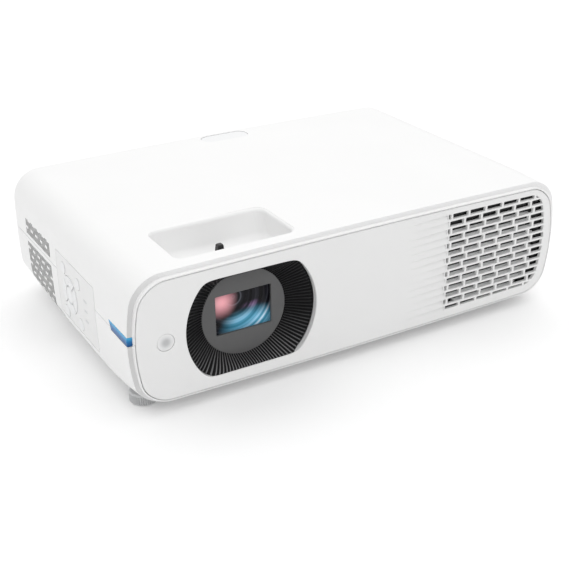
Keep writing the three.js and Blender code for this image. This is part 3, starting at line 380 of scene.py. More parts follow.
# Painted shade: a dark grey for the intake slots' walls, standing in for the shade inside the slots.
VENT_PAINTED_SHADE = surface("vent_painted_shade", (0.20, 0.20, 0.20), 0.6, grain=0.5, bump=0.01, tint=0.06)
BLACK = surface("black_plastic", (0.012, 0.012, 0.013), 0.45, grain=0.6, bump=0.012, tint=0.15)
RUBBER = surface("pad_rubber", (0.022, 0.022, 0.024), 0.85, grain=0.7, bump=0.03, tint=0.15)
FOOT = surface("foot_grey", (0.58, 0.585, 0.59), 0.4, grain=0.5, bump=0.01, tint=0.05)
CAST = surface("cast_aluminium", (0.33, 0.34, 0.35), 0.5, 0.85, grain=0.9, bump=0.04, tint=0.12)
FIN = surface(
    "fin_aluminium", (0.62, 0.63, 0.64), 0.32, 0.95, grain=0.5, bump=0.01, tint=0.06, stretch=(1, 1, 12)
)
COPPER = surface("pipe_copper", (0.72, 0.33, 0.17), 0.28, 0.95, grain=0.8, bump=0.01, tint=0.15)
STEEL = surface(
    "port_steel", (0.60, 0.61, 0.62), 0.28, 0.95, grain=0.4, bump=0.006, tint=0.05, stretch=(8, 1, 1)
)
PORT_BLUE = surface("port_blue", (0.02, 0.07, 0.35), 0.4, grain=0.5, bump=0.01, tint=0.08)
GLASS_DARK = surface("inner_glass", (0.03, 0.04, 0.06), 0.06, grain=1.0, bump=0.0, tint=0.2, coat_weight=0.6)
ACCENT_PAINTED_HIGHLIGHT = accent_highlight_material()
BOARD = board_material()
LENS_PAINTED_REFLECTIONS = lens_reflection_material()
LED_LOOKS = {
    "red": surface("led_red", (0.50, 0.03, 0.02), 0.4, grain=0.6, bump=0.02, tint=0.1),
    "green": surface("led_green", (0.03, 0.35, 0.09), 0.4, grain=0.6, bump=0.02, tint=0.1),
    "blue": surface("led_blue", (0.02, 0.09, 0.52), 0.4, grain=0.6, bump=0.02, tint=0.1),
    "pump": surface("led_violet", (0.09, 0.06, 0.55), 0.4, grain=0.6, bump=0.02, tint=0.1),
}

# ---- Meshes ----


def to_world(point):
    x, y, z = point
    return Vector((x * MM, y * MM + cad_box[0].y, z * MM))


def new_object(name, vertices, faces, material=None):
    """A mesh object from points in millimetres, with its faces turned outwards."""
    mesh = bpy.data.meshes.new(name)
    mesh.from_pydata([to_world(v) for v in vertices], [], faces)
    work = bmesh.new()
    work.from_mesh(mesh)
    bmesh.ops.recalc_face_normals(work, faces=work.faces)
    work.to_mesh(mesh)
    work.free()
    made = bpy.data.objects.new(name, mesh)
    bpy.context.scene.collection.objects.link(made)
    if material:
        mesh.materials.append(material)
    return made


def stack(name, axis, levels, material=None):
    """A closed solid through outlines: each level is (position along the axis, its 2-D points)."""
    vertices, faces = [], []
    count = len(levels[0][1])
    for position, points in levels:
        for point in points:
            full = list(point)
            full.insert(axis, position)
            vertices.append(full)
    for level in range(len(levels) - 1):
        for k in range(count):
            a, b = level * count + k, level * count + (k + 1) % count
            faces.append((a, b, b + count, a + count))
    faces.append(tuple(range(count)))
    faces.append(tuple(range(len(vertices) - count, len(vertices))))
    return new_object(name, vertices, faces, material)


def merged(name, objects, material=None):
    """Joins objects that don't touch into one mesh, without a boolean."""
    work = bmesh.new()
    for part in objects:
        work.from_mesh(part.data)
        bpy.data.objects.remove(part)
    mesh = bpy.data.meshes.new(name)
    work.to_mesh(mesh)
    work.free()
    made = bpy.data.objects.new(name, mesh)
    bpy.context.scene.collection.objects.link(made)
    if material:
        mesh.materials.append(material)
        for polygon in mesh.polygons:
            polygon.material_index = 0
    return made


def boolean(target, tool, operation="DIFFERENCE", keep_tool=False):
    modifier = target.modifiers.new("boolean", "BOOLEAN")
    modifier.object = tool
    modifier.operation = operation
    modifier.solver = "MANIFOLD"
    modifier.material_mode = "TRANSFER"
    evaluated = target.evaluated_get(bpy.context.evaluated_depsgraph_get())
    made = bpy.data.meshes.new_from_object(evaluated)
    target.modifiers.clear()
    target.data = made
    if not keep_tool:
        bpy.data.objects.remove(tool)
    return target


def cut(target, *tools):
    for tool in tools:
        boolean(target, tool)
    return target


def copy_of(source, name):
    made = bpy.data.objects.new(name, source.data.copy())
    bpy.context.scene.collection.objects.link(made)
    return made


def rectangle(x0, x1, z0, z1):
    return [(x0, z0), (x1, z0), (x1, z1), (x0, z1)]


def box(name, x, y, z, material=None):
    return stack(name, 1, [(y[0], rectangle(*x, *z)), (y[1], rectangle(*x, *z))], material)


def rounded(x0, y0, x1, y1, radius, steps=5):
    """The points of a rounded rectangle."""
    points = []
    corners = [(x1, y0, -90), (x1, y1, 0), (x0, y1, 90), (x0, y0, 180)]
    for x, y, start in corners:
        cx = x + (radius if x == x0 else -radius)
        cy = y + (radius if y == y0 else -radius)
        for i in range(steps + 1):
            angle = math.radians(start + 90 * i / steps)
            points.append((cx + radius * math.cos(angle), cy + radius * math.sin(angle)))
    return points


def ring_points(radius, count, x=0.0, y=0.0):
    angles = [2 * math.pi * i / count for i in range(count)]
    return [(x + radius * math.cos(a), y + radius * math.sin(a)) for a in angles]


def turned(name, profile, axis, centre, segments=64, material=None):
    """A solid turned about an axis. The profile is (radius, position) from one end to the other."""
    inner = [(r, p) for r, p in profile if r > 0]
    levels = [(p, ring_points(r, segments, *centre)) for r, p in inner]
    return stack(name, axis, levels, material)


def smooth(piece, degrees=32, weighted=True):
    """Smooth shading that keeps edges over an angle, with flat faces kept flat."""
    piece.data.shade_smooth()
    piece.data.set_sharp_from_angle(angle=math.radians(degrees))
    if weighted:
        modifier = piece.modifiers.new("normals", "WEIGHTED_NORMAL")
        modifier.keep_sharp = True
    return piece


def bevelled(piece, width, segments=2, degrees=40):
    modifier = piece.modifiers.new("bevel", "BEVEL")
    modifier.width = width * MM
    modifier.segments = segments
    modifier.limit_method = "ANGLE"
    modifier.angle_limit = math.radians(degrees)
    modifier.harden_normals = False
    return piece


def paint(piece, material):
    piece.data.materials.clear()
    piece.data.materials.append(material)
    for polygon in piece.data.polygons:
        polygon.material_index = 0
    return piece


def ready(piece, body, slot, *replaced, degrees=32, weighted=True):
    """Shades a piece, puts it on its body and hides the CAD nodes it stands for. The slot is not used."""
    smooth(piece, degrees, weighted)
    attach(piece, body)
    if replaced:
        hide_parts(*replaced)
    return piece


# ---- Casing sections ----


def section(crown, top_radius, bottom_radius):
    return {
        "crown": crown,
        "half": HALF,
        "bottom": UNDERSIDE,
        "top": TOP,
        "top_radius": top_radius,
        "bottom_radius": bottom_radius,
    }


def moved(source, side, top, bottom, corner):
    """A section moved in on its sides, top and bottom, with its corner radii shrunk."""
    made = dict(source)
    made["half"] -= side
    made["bottom"] += bottom
    made["top"] -= top
    made["top_radius"] = max(1.0, source["top_radius"] - corner)
    made["bottom_radius"] = max(1.0, source["bottom_radius"] - corner)
    return made


def moved_in(source, inset):
    return moved(source, inset, inset, inset, inset)


def between(first, second, share):
    return {key: first[key] + (second[key] - first[key]) * share for key in first}


FRONT = section(8.7, 20.5, 20)
BODY = section(2, 24, 18)
REAR = section(2, 24, 25)
BODY_START, BODY_END = 60, 150
REAR_ROUND = 12
LIP_INSET = (3.9, 3.9, 1.1, 1.8)
PANEL_INSET = (5.2, 5.5, 2.1, 2.5)
LIP_HEIGHT = 3.2
PANEL = moved(FRONT, *PANEL_INSET)


def outline(source, arc_steps=14, side_steps=26):
    """The points of a section: a rounded rectangle whose four sides bulge."""
    centre = (source["top"] + source["bottom"]) / 2
    half_height = (source["top"] - source["bottom"]) / 2
    half = source["half"] - source["crown"]
    low, high = source["bottom"] + FACE_CROWN, source["top"] - FACE_CROWN
    b, t = source["bottom_radius"], source["top_radius"]
    corners = [
        (half - b, low + b, b, -90),
        (half - t, high - t, t, 0),
        (t - half, high - t, t, 90),
        (b - half, low + b, b, 180),
    ]
    arcs = []
    for x, z, radius, start in corners:
        angles = [math.radians(start + 90 * i / arc_steps) for i in range(arc_steps + 1)]
        arcs.append([(x + radius * math.cos(a), z + radius * math.sin(a)) for a in angles])
    points = []
    for i, arc in enumerate(arcs):
        (x0, z0), (x1, z1) = arc[-1], arcs[(i + 1) % 4][0]
        steps = side_steps if i % 2 else side_steps // 2
        points += arc
        points += [(x0 + (x1 - x0) * k / steps, z0 + (z1 - z0) * k / steps) for k in range(1, steps)]
    shaped = []
    for x, z in points:
        height, across = (z - centre) / half_height, x / half
        shaped.append(
            (
                x + across * source["crown"] * (1 - height**2),
                z + height * FACE_CROWN * (1 - across**2),
            )
        )
    return shaped


def loft(name, stations, material=None):
    return stack(name, 1, [(y, outline(part)) for y, part in stations], material)


def body_stations(inset, start):
    """The casing's sections from start to the rear, moved in, with the front easing into the body."""
    front, body, rear = (moved_in(part, inset) for part in (FRONT, BODY, REAR))
    stations = []
    for i in range(11):
        share = i / 10
        stations.append((start + (BODY_START - start) * share, between(front, body, share * (2 - share))))
    stations += [(BODY_START + (BODY_END - BODY_START) * i / 5, body) for i in range(1, 6)]
    radius, rearmost = REAR_ROUND - inset, DEPTH - inset
    for i in range(1, 7):
        share = i / 7
        stations.append((BODY_END + (rearmost - radius - BODY_END) * share, between(body, rear, share)))
    for i in range(9):
        angle = math.radians(90 * i / 8)
        away = radius * (1 - math.cos(angle))
        stations.append((rearmost - radius * (1 - math.sin(angle)), moved_in(rear, away)))
    return stations


def casing_block(name, inset=0.0):
    """The casing's outside as one closed block, moved in by an inset: a lip, a step and the body."""
    profile = [(0.0, 1.12), (0.12, 1.05), (0.4, 1.0), (2.6, 0.98), (3.0, 0.93)]
    profile += [(3.2, 0.82), (3.35, 0.5), (3.5, 0.15), (3.65, 0.04)]
    stations = []
    for y, share in profile:
        part = moved(FRONT, *(amount * share for amount in LIP_INSET))
        stations.append((y + inset, moved_in(part, inset)))
    return loft(name, stations + body_stations(inset, 4.0 + inset))


def room_cutters():
    """The room inside: the front panel's seat, its ledge, and the space behind."""
    seat = [(-1.0, 0.5), (0.0, 0.5), (0.12, 0.2), (0.5, 0.05), (1.0, 0.0), (2.8 + GAP, 0.0)]
    ledge = moved_in(PANEL, 3)
    return [
        loft("seat", [(y, moved_in(PANEL, -GAP - grow)) for y, grow in seat]),
        loft("ledge", [(0, ledge), (7.5, ledge)]),
        loft("inner", body_stations(WALL, 6.5)),
    ]


def side_prism(name, points, x0=LEFT - PAST, x1=LEFT + PAST):
    """An outline in (y, z), extruded along x."""
    return stack(name, 0, [(x0, points), (x1, points)])


STRIP_END = span("accent_strip", 1)[1]


def strip_zone(name, clearance):
    low, high = SPLIT - 2 - clearance, SPLIT + 5 + clearance
    start, end = LIP_HEIGHT - 0.2 - clearance, STRIP_END + clearance
    points = [(start, low), (end - 4, low), (end, high), (start, high)]
    return side_prism(name, points, LEFT - PAST, LEFT + 12 + clearance)


PLATE_Y = span("control_panel", 1)
PLATE_Z = span("control_panel", 2)


def control_outline(clearance):
    (y0, y1), (z0, z1) = PLATE_Y, PLATE_Z
    return rounded(y0 - clearance, z0 - clearance, y1 + clearance, z1 + clearance, 3 + clearance)


def surface_groove(name, points, depth=0.35):
    """What of a side prism lies within a depth of the casing's surface."""
    return cut(side_prism(name, points), casing_block("inner_block", depth))


def intake_slots():
    """Two blocks of upright slots, whose webs are staggered like bricks."""
    start, pitch, width, cell, web = DEPTH - 102, 3.15, 1.9, 15, 2.2
    slots = []
    for column in range(20):
        y = start + column * pitch
        shift = cell / 2 if column // 2 % 2 else 0
        for low, high in ((70.5, 84.5), (21, 63)):
            z = low - shift
            while z < high:
                bottom, top = max(z, low), min(z + cell - web, high)
                if top - bottom > web:
                    points = rounded(y, bottom, y + width, top, 0.5, 2)
                    slots.append(side_prism("slot", points))
                z += cell
    # The slot walls take the dark grey painted shade.
    return merged("intake_slots", slots, VENT_PAINTED_SHADE)


def speaker_slots():
    y, z = middle("speaker_frame", 1), middle("speaker_frame", 2)
    slots = []
    for i in range(-3, 4):
        points = rounded(y + 5 * i - 1.2, z - 13, y + 5 * i + 1.2, z + 13, 1.15, 4)
        slots.append(side_prism("slot", points, HALF - PAST, HALF + PAST))
    return merged("speaker_slots", slots)


WELL = {"x0": LENS_X - 51, "x1": LENS_X + 48.5, "y0": 17, "y1": 73, "floor": 95.5}


def well_outline(grow, lean=0.0):
    """The well's outline in (x, y), with its back wall leaning in."""
    back = WELL["y1"] - lean + grow
    return rounded(WELL["x0"] - grow, WELL["y0"] - grow, WELL["x1"] + grow, back, 7 + grow, 8)


def upright(name, points, z0, z1):
    return stack(name, 2, [(z0, points), (z1, points)])


def well_room():
    """The well with a rounded mouth, a leaning back wall and a rounded floor edge."""
    floor = WELL["floor"]
    levels = []
    for i in range(7):
        angle = math.radians(90 * i / 6)
        levels.append((floor + 5 * (1 - math.cos(angle)), -5 * (1 - math.sin(angle))))
    levels.append((TOP - 3.1, 0.0))
    for i in range(1, 6):
        angle = math.radians(90 * i / 5)
        levels.append((TOP - 3.1 + 2.6 * math.sin(angle), 2.2 * (1 - math.cos(angle))))
    levels.append((TOP + PAST, 2.2))
    depth = TOP - floor
    return stack(
        "well_room", 2, [(z, well_outline(grow, 9 * max(0.0, TOP - z) / depth)) for z, grow in levels]
    )


def top_window_outline(grow):
    (x0, x1), (y0, y1) = span("ir_window_top", 0), span("ir_window_top", 1)
    radius = (y1 - y0) / 2 + grow - 0.01
    return rounded(x0 - grow, y0 - grow, x1 + grow, y1 + grow, radius, 12)


def io_outline(grow):
    (x0, x1), (z0, z1) = span("rear_io_panel", 0), span("rear_io_panel", 2)
    return rounded(x0 - grow, z0 - grow, x1 + grow, z1 + grow, 2 + grow)


def make_covers():
    shell = paint(casing_block("shell"), WHITE)
    cut(shell, *room_cutters())
    strip = copy_of(shell, "accent")
    plate = copy_of(shell, "control_plate")
    boolean(strip, strip_zone("zone", 0), "INTERSECT")
    boolean(plate, side_prism("zone", control_outline(0)), "INTERSECT")
    cut(
        shell,
        strip_zone("zone", GAP),
        side_prism("zone", control_outline(GAP)),
        intake_slots(),
        speaker_slots(),
        stack("io_hole", 1, [(DEPTH - PAST, io_outline(GAP)), (DEPTH + PAST, io_outline(GAP))]),
        stack("io_edge", 1, [(DEPTH - 1.2, io_outline(GAP - 0.1)), (DEPTH + 0.2, io_outline(GAP + 1.2))]),
    )
    groove = box("groove", (-HALF - PAST, HALF + PAST), (1, DEPTH + PAST), (SPLIT - 0.4, SPLIT + 0.4))
    cut(shell, cut(groove, casing_block("inner_block", 0.5)))
    ring = surface_groove("ring", control_outline(0.55))
    cut(ring, side_prism("core", control_outline(-0.25)))
    boolean(shell, ring, keep_tool=True)
    boolean(plate, ring)

    bottom = copy_of(shell, "casing_bottom")
    boolean(bottom, box("below", (-HALF - 9, HALF + 9), (-9, DEPTH + 9), (-9, SPLIT - GAP / 2)), "INTERSECT")
    top = shell
    top.name = "casing_top"
    above = box("above", (-HALF - 9, HALF + 9), (-9, DEPTH + 9), (SPLIT + GAP / 2, TOP + 9))
    boolean(top, above, "INTERSECT")
    tray = upright("tray", well_outline(3.6), WELL["floor"] - 1.5, TOP + PAST)
    boolean(tray, casing_block("inner_block", 0.3), "INTERSECT")
    boolean(top, tray, "UNION")
    lever_slot = rounded(LENS_X - 19, 45, LENS_X + 19, 55, 1.5)
    focus_slot = rounded(LENS_X - 24, 26, LENS_X + 24, 40, 1.5)
    cut(
        top,
        well_room(),
        upright("slot", lever_slot, WELL["floor"] - PAST, WELL["floor"] + 1),
        upright("slot", focus_slot, WELL["floor"] - PAST, WELL["floor"] + 1),
        upright("hole", top_window_outline(GAP), TOP - PAST, TOP + PAST),
    )
    for side in ("left", "right"):
        x, y = (middle(f"front_{side}_foot_stud", axis) for axis in (0, 1))
        boss = upright("boss", ring_points(8, 40, x, y), UNDERSIDE + 1, 30)
        boolean(boss, casing_block("inner_block", 0.5), "INTERSECT")
        boolean(bottom, boss, "UNION")
        cut(bottom, upright("hole", ring_points(4 + GAP, 32, x, y), -PAST, 50))
    notch = rounded(DEPTH - 120, 16, DEPTH - 103, 26, 1.5)
    cut(bottom, side_prism("notch", notch, LEFT - PAST, LEFT + 16))
    return top, bottom, strip, plate


def shade_step(cover):
    """Gives the step around the front lip its painted shade, greyer towards the left side."""
    cover.data.materials.append(STEP_PAINTED_SHADE)
    for polygon in cover.data.polygons:
        depth = (polygon.center.y - cad_box[0].y) / MM
        if polygon.normal.y < -0.5 and 2.9 < depth < 3.75:
            polygon.material_index = len(cover.data.materials) - 1


top_cover, bottom_cover, strip, plate = make_covers()
for cover, node in ((top_cover, "top_cover"), (bottom_cover, "bottom_cover")):
    shade_step(cover)
    ready(cover, "projector", "casing_white", node)
ready(paint(strip, ACCENT_PAINTED_HIGHLIGHT), "projector", "accent_blue", "accent_strip")

# ---- Front panel ----

VENT_LEFT = HALF - 120.5


def brick_slots():
    """Fourteen rows of slots laid like bricks, each with a small chamfer at the front."""
    bricks = []
    pitch, web, tall = 18.0, 2.1, 4.6
    for row in range(14):
        z = 105.2 - 6.5 * row
        odd = row % 2
        x = VENT_LEFT + (3.6, 17.4)[odd] - pitch
        while x < HALF:
            x0, x1 = max(x + web / 2, VENT_LEFT + 2 * odd), x + pitch - web / 2
            x += pitch
            if x1 - x0 <= web:
                continue
            levels = []
            for y, grow in ((-PAST, 0.25), (0.0, 0.25), (0.3, 0.0), (PAST, 0.0)):
                size = (x0 - grow, z - tall / 2 - grow, x1 + grow, z + tall / 2 + grow)
                levels.append((y, rounded(*size, 0.6, 2)))
            bricks.append(stack("brick", 1, levels))
    slots = merged("bricks", bricks)
    edge = moved(PANEL, 8, 4.9, 8, 8)
    return boolean(slots, loft("clip", [(-PAST - 1, edge), (PAST + 1, edge)]), "INTERSECT")


def fading_grooves():
    """Shallow grooves that run on from each row of slots and fade out to the left."""
    grooves = []
    for row in range(14):
        z = 105.2 - 6.5 * row
        tip, end = VENT_LEFT - 40, VENT_LEFT - 1.2 + 2 * (row % 2)
        tall, deep = 2.5, 1.7
        levels = []
        for x, share in ((end, 1.0), (tip, 0.02)):
            low, high = z + 0.6 - (tall + 0.6) * share, z + 0.6 + (tall - 0.6) * share
            depth = deep * share
            levels.append((x, [(-1, low), (0, low), (depth, high - 0.5 * share), (depth, high), (-1, high)]))
        grooves.append(stack("groove", 0, levels))
    return merged("grooves", grooves)


HOLE = {"radius": 56.2, "flat": 40.6, "x": LENS_X + 1.8, "z": LENS_Z - 1.6}


def lens_outline(inset=0.0, steps=40):
    """The lens opening: a circle with a flat above and below, its corners eased."""
    radius, flat = HOLE["radius"] - inset, HOLE["flat"] - inset
    points = []
    for k in range(4 * steps):
        angle = math.pi * (k + 0.5) / (2 * steps)
        reach = opening_reach(angle, radius, flat)
        points.append((HOLE["x"] + reach * math.cos(angle), HOLE["z"] + reach * math.sin(angle)))
    return points


def opening_reach(angle, radius, flat):
    """How far the opening's edge is from its middle in a direction, with eased corners."""
    sine = max(abs(math.sin(angle)), 1e-6)
    power = 26.0
    return (radius**-power + (flat / sine) ** -power) ** (-1 / power)


def make_front_panel():
    edge = [(0.0, 0.9), (0.2, 0.45), (0.7, 0.2), (1.4, 0.1), (2.8, 0.0)]
    panel = paint(loft("fascia", [(y, moved_in(PANEL, inset)) for y, inset in edge]), PANEL_WHITE)
    collar = stack("collar", 1, [(1.5, lens_outline(-2.4)), (4.6, lens_outline(-2.4))])
    boolean(panel, collar, "UNION")
    mouth = [(-PAST, -0.35), (0.0, -0.35), (0.35, 0.0), (PAST, 0.0)]
    hole = stack("hole", 1, [(y, lens_outline(inset)) for y, inset in mouth])
    x, z = middle("ir_window_front", 0), middle("ir_window_front", 2)
    spot = [(y, ring_points(7.12 + grow, 64, x, z)) for y, grow in ((-1, 0.15), (0, 0.15), (0.2, 0), (9, 0))]
    return cut(panel, hole, stack("spot", 1, spot), brick_slots(), fading_grooves())


ready(make_front_panel(), "projector", "panel_white", "front_panel", degrees=28)


def make_exhaust_duct():
    """A black sleeve between the grille and the fan, with one upright blade behind each row of slots."""
    x0, x1, z0, z1 = VENT_LEFT - 3, HALF - 21, 22.0, 97.0
    outer = moved_in(PANEL, 6.5)
    duct = loft("exhaust_duct", [(4.2, outer), (15.2, outer)], BLACK)
    boolean(duct, box("duct_zone", (VENT_LEFT - 7, HALF), (0, 20), (0, TOP)), "INTERSECT")
    hole = rounded(x0, z0, x1, z1, 26, 12)
    cut(duct, stack("duct_hole", 1, [(0, hole), (20, hole)]))
    ready(paint(duct, BLACK), "projector", "black_plastic", degrees=30)
    blades = []
    top_row, pitch, slot = 105.2, 6.5, 3.4
    for row in range(2, 14):
        low = top_row - pitch * row - slot
        profile = [(4.3, low - 1.4), (6.4, low - 1.4), (6.4, low + 0.9), (5.6, low + 0.9)]
        blades.append(stack("blade", 0, [(x0 + 1, profile), (x1 - 1, profile)], LOUVRE))
    louvre = merged("exhaust_louvre", blades, LOUVRE)
    inside = rounded(x0 + 0.4, z0 + 0.4, x1 - 0.4, z1 - 0.4, 25.6, 12)
    boolean(louvre, stack("louvre_zone", 1, [(4.3, inside), (15, inside)]), "INTERSECT")
    ready(paint(louvre, LOUVRE), "projector", "black_plastic", degrees=30)


make_exhaust_duct()


def make_windows():
    x, z = middle("ir_window_front", 0), middle("ir_window_front", 2)
    profile = [(0.5, 0.12), (3.5, 0.16), (6.2, 0.28), (6.8, 0.5), (7.0, 0.9), (7.0, 2.8)]
    front = turned("front_ir_window", profile, 1, (x, z), 64, SENSOR)
    ready(front, "projector", "window_white", "ir_window_front")
    levels = [(TOP - 3.4, -0.0), (TOP - 0.9, 0.0), (TOP - 0.6, -0.3)]
    top = stack("top_ir_window", 2, [(z, top_window_outline(grow)) for z, grow in levels], KEY_WHITE)
    ready(top, "projector", "window_white", "ir_window_top")


make_windows()

# ---- Lens ----

DISC_RADIUS = 36.3
DISC_FRONT = span("lens_mask", 1)[0]


def make_bezel():
    """A ribbed funnel from the opening's edge down to the mask."""
    ribs, steps, rib_height = 112, 8, 1.1
    crest = (0.0, 0.05, 0.75, 1.0, 0.75, 0.05)
    count = ribs * len(crest)
    floor = DISC_FRONT + 0.2
    rings = []
    for level in range(steps + 1):
        share = level / steps
        ring = []
        for k in range(count):
            angle = 2 * math.pi * k / count
            ahead = (math.cos(angle), math.sin(angle))
            reach = opening_reach(angle, HOLE["radius"] - GAP, HOLE["flat"] - GAP)
            flatness = min(1.0, max(0.0, (HOLE["radius"] - GAP - reach) / 2.5))
            rim = 5.0 - 4.6 * flatness
            lift = rib_height * crest[k % len(crest)] * min(1.0, 6 * share)
            inner = DISC_RADIUS + 0.12
            x = (HOLE["x"] + reach * ahead[0]) * (1 - share) + (LENS_X + inner * ahead[0]) * share
            z = (HOLE["z"] + reach * ahead[1]) * (1 - share) + (LENS_Z + inner * ahead[1]) * share
            lean = 0.3 + 0.5 * flatness
            y = rim + (floor - rim) * share - lift * (1 - lean)
            ring.append((x - lift * lean * ahead[0], y, z - lift * lean * ahead[1]))
        rings.append(ring)
    rings.append([(x, 15.0, z) for x, y, z in rings[-1]])
    rings.append([(x, 15.0, z) for x, y, z in rings[0]])
    vertices = [point for ring in rings for point in ring]
    faces = []
    for level in range(len(rings)):
        for k in range(count):
            a, b = level * count + k, level * count + (k + 1) % count
            faces.append((a, b, (b + count) % len(vertices), (a + count) % len(vertices)))
    funnel = new_object("lens_funnel", vertices, faces, BEZEL)
    # The rib crests get a lighter material: a painted highlight.
    funnel.data.materials.append(RIB_PAINTED_HIGHLIGHT)
    for index in range(steps * count):
        if crest[index % len(crest)] > 0.5 and crest[(index + 1) % len(crest)] > 0.5:
            funnel.data.polygons[index].material_index = 1
    return funnel


def make_mask():
    front, back = DISC_FRONT, DISC_FRONT + 2
    profile = [(DISC_RADIUS - 0.5, front), (DISC_RADIUS, front + 0.4), (DISC_RADIUS, back)]
    disc = turned("lens_plate", profile, 1, (LENS_X, LENS_Z), 96, MASK)
    levels = [
        (y, rounded(LENS_X - 24 - g, LENS_Z - 15.5 - g, LENS_X + 24 + g, LENS_Z + 17.5 + g, 0.8 + g, 4))
        for y, g in ((front - 5, 0.35), (front, 0.35), (front + 0.35, 0.0), (back + 5, 0.0))
    ]
    return cut(disc, stack("window", 1, levels))


def make_front_lens():
    """The front lens: a bulging glass disc."""
    y0, y1 = span("front_lens", 1)
    radius = (span("front_lens", 0)[1] - span("front_lens", 0)[0]) / 2
    flat = (span("front_lens", 2)[1] - span("front_lens", 2)[0]) / 2
    profile = []
    for i in range(1, 17):
        share = i / 16
        profile.append((radius * share, y0 + 1.4 * share**2))
    profile += [(radius, y1 - 1.4), (radius * 0.5, y1 - 0.3)]
    glass = turned("front_lens_glass", profile, 1, (LENS_X, LENS_Z), 96, LENS_PAINTED_REFLECTIONS)
    zone = box("zone", (LENS_X - 40, LENS_X + 40), (y0 - 5, y1 + 5), (LENS_Z - flat, LENS_Z + flat))
    return boolean(glass, zone, "INTERSECT")


ready(make_bezel(), "projector", "bezel_black", "lens_bezel", degrees=50)
ready(make_mask(), "projector", "mask_grey", "lens_mask")
ready(make_front_lens(), "focus_lens_group", "lens_glass", "front_lens", degrees=40)


def make_lever():
    """The zoom lever's knob, with grip ribs across its top."""
    (y0, y1), (z0, z1) = span("zoom_lever_knob", 1), span("zoom_lever_knob", 2)
    levels = []
    for z, half, inset in (
        (z0, 4.0, 0.0),
        (WELL["floor"] + 1, 3.3, 0.2),
        (z1 - 3.2, 2.7, 0.6),
        (z1 - 1.0, 2.5, 0.8),
        (z1 - 0.3, 2.2, 1.2),
        (z1, 1.7, 1.8),
    ):
        levels.append((z, rounded(LENS_X - half, y0 + inset, LENS_X + half, y1 - inset, 0.9, 4)))
    knob = stack("zoom_knob", 2, levels, BLACK)
    cuts = [
        box("rib", (LENS_X + 1.5 * i - 0.25, LENS_X + 1.5 * i + 0.25), (y0 - 1, y0 + 0.9), (z1 - 8, z1 - 1.2))
        for i in (-1, 0, 1)
    ]
    return cut(knob, merged("ribs", cuts))


ready(paint(make_lever(), BLACK), "zoom_ring", "black_plastic", "zoom_lever_knob")


def make_grip_ring(name, node, count, body):
    """A ring with grip ribs round its outside."""
    (y0, y1), (x0, x1) = span(node, 1), span(node, 0)
    outer = (x1 - x0) / 2
    inner = 24.0
    points, hole = [], ring_points(inner, 96, LENS_X, LENS_Z)
    for k in range(count * 4):
        angle = 2 * math.pi * k / (count * 4)
        reach = outer - (0.0, 0.0, 0.7, 0.7)[k % 4] if node == "focus_ring" else outer - 0.01
        points.append((LENS_X + reach * math.cos(angle), LENS_Z + reach * math.sin(angle)))
    ring = stack(name, 1, [(y0, points), (y1, points)], BLACK)
    cut(ring, stack("hole", 1, [(y0 - 2, hole), (y1 + 2, hole)]))
    ready(paint(ring, BLACK), body, "black_plastic", node)


make_grip_ring("focus_grip", "focus_ring", 60, "focus_ring")
make_grip_ring("zoom_grip", "zoom_ring", 40, "zoom_ring")

# ---- Control panel ----

ROUND_KEYS = ("power_key", "back_key", "source_key", "menu_key")
NAV_KEYS = ("nav_left_key", "nav_up_key", "nav_right_key", "nav_down_key")
NAV_Y, NAV_Z = middle("enter_key", 1), middle("enter_key", 2)


def make_control_plate():
    """Cuts the holes of the keys and lights in the plate."""
    nav = ring_points(16 + GAP, 96, NAV_Y, NAV_Z)
    cut(plate, side_prism("hole", nav))
    for key in ROUND_KEYS:
        hole = ring_points(5 + GAP, 48, middle(key, 1), middle(key, 2))
        cut(plate, side_prism("hole", hole))
    for z in (46.5, 55.4, 64.2):
        y = middle("indicator_light_guide", 1)
        cut(plate, side_prism("hole", rounded(y - 3.3, z - 1, y + 3.3, z + 1, 0.5, 3)))
    return plate


ready(paint(make_control_plate(), PANEL_WHITE), "projector", "panel_white", "control_panel")


def make_round_key(node):
    x0, x1 = span(node, 0)
    centre = (middle(node, 1), middle(node, 2))
    profile = [
        (1.0, x0 + 0.16),
        (2.6, x0 + 0.1),
        (4.1, x0),
        (4.6, x0 + 0.08),
        (4.9, x0 + 0.3),
        (5.0, x0 + 0.6),
        (5.0, x1 - 1.2),
        (6.3, x1 - 1.2),
        (6.3, x1),
    ]
    key = turned(f"{node}_cap", profile, 0, centre, 48, KEY_WHITE)
    return ready(key, node, "key_white", node)


for name in ROUND_KEYS:
    make_round_key(name)


def sector(inner, outer, direction, slit, steps=10):
    """The outline of a quarter of a ring, with parallel gaps between the quarters."""
    points = []
    for radius, order in ((outer, 1), (inner, -1)):
        spread_angle = math.pi / 4 - math.asin(slit / (2 * radius))
        for i in range(steps + 1):
            angle = direction + order * spread_angle * (2 * i / steps - 1)
            points.append((NAV_Y + radius * math.cos(angle), NAV_Z + radius * math.sin(angle)))
    return points


def make_nav_key(node, direction):
    x0, x1 = span(node, 0)
    levels = []
    for x, inset in ((x0, 0.5), (x0 + 0.12, 0.2), (x0 + 0.45, 0.0), (x1, 0.0)):
        levels.append((x, sector(8 + inset, 16 - inset, direction, 1.2 + 2 * inset)))
    key = stack(f"{node}_cap", 0, levels, KEY_WHITE)
    along = Vector((math.cos(direction), math.sin(direction)))
    across = Vector((-math.sin(direction), math.cos(direction)))
    centre = Vector((NAV_Y, NAV_Z)) + along * 12.2
    arrow = [centre + along * 1.3, centre - along * 0.9 + across * 1.6, centre - along * 0.9 - across * 1.6]
    cut(key, side_prism("arrow", [tuple(p) for p in arrow], x0 - 2, x0 + 0.25))
    return ready(paint(key, KEY_WHITE), node, "key_white", node)


for index, name in enumerate(NAV_KEYS):
    make_nav_key(name, index * math.pi / 2)


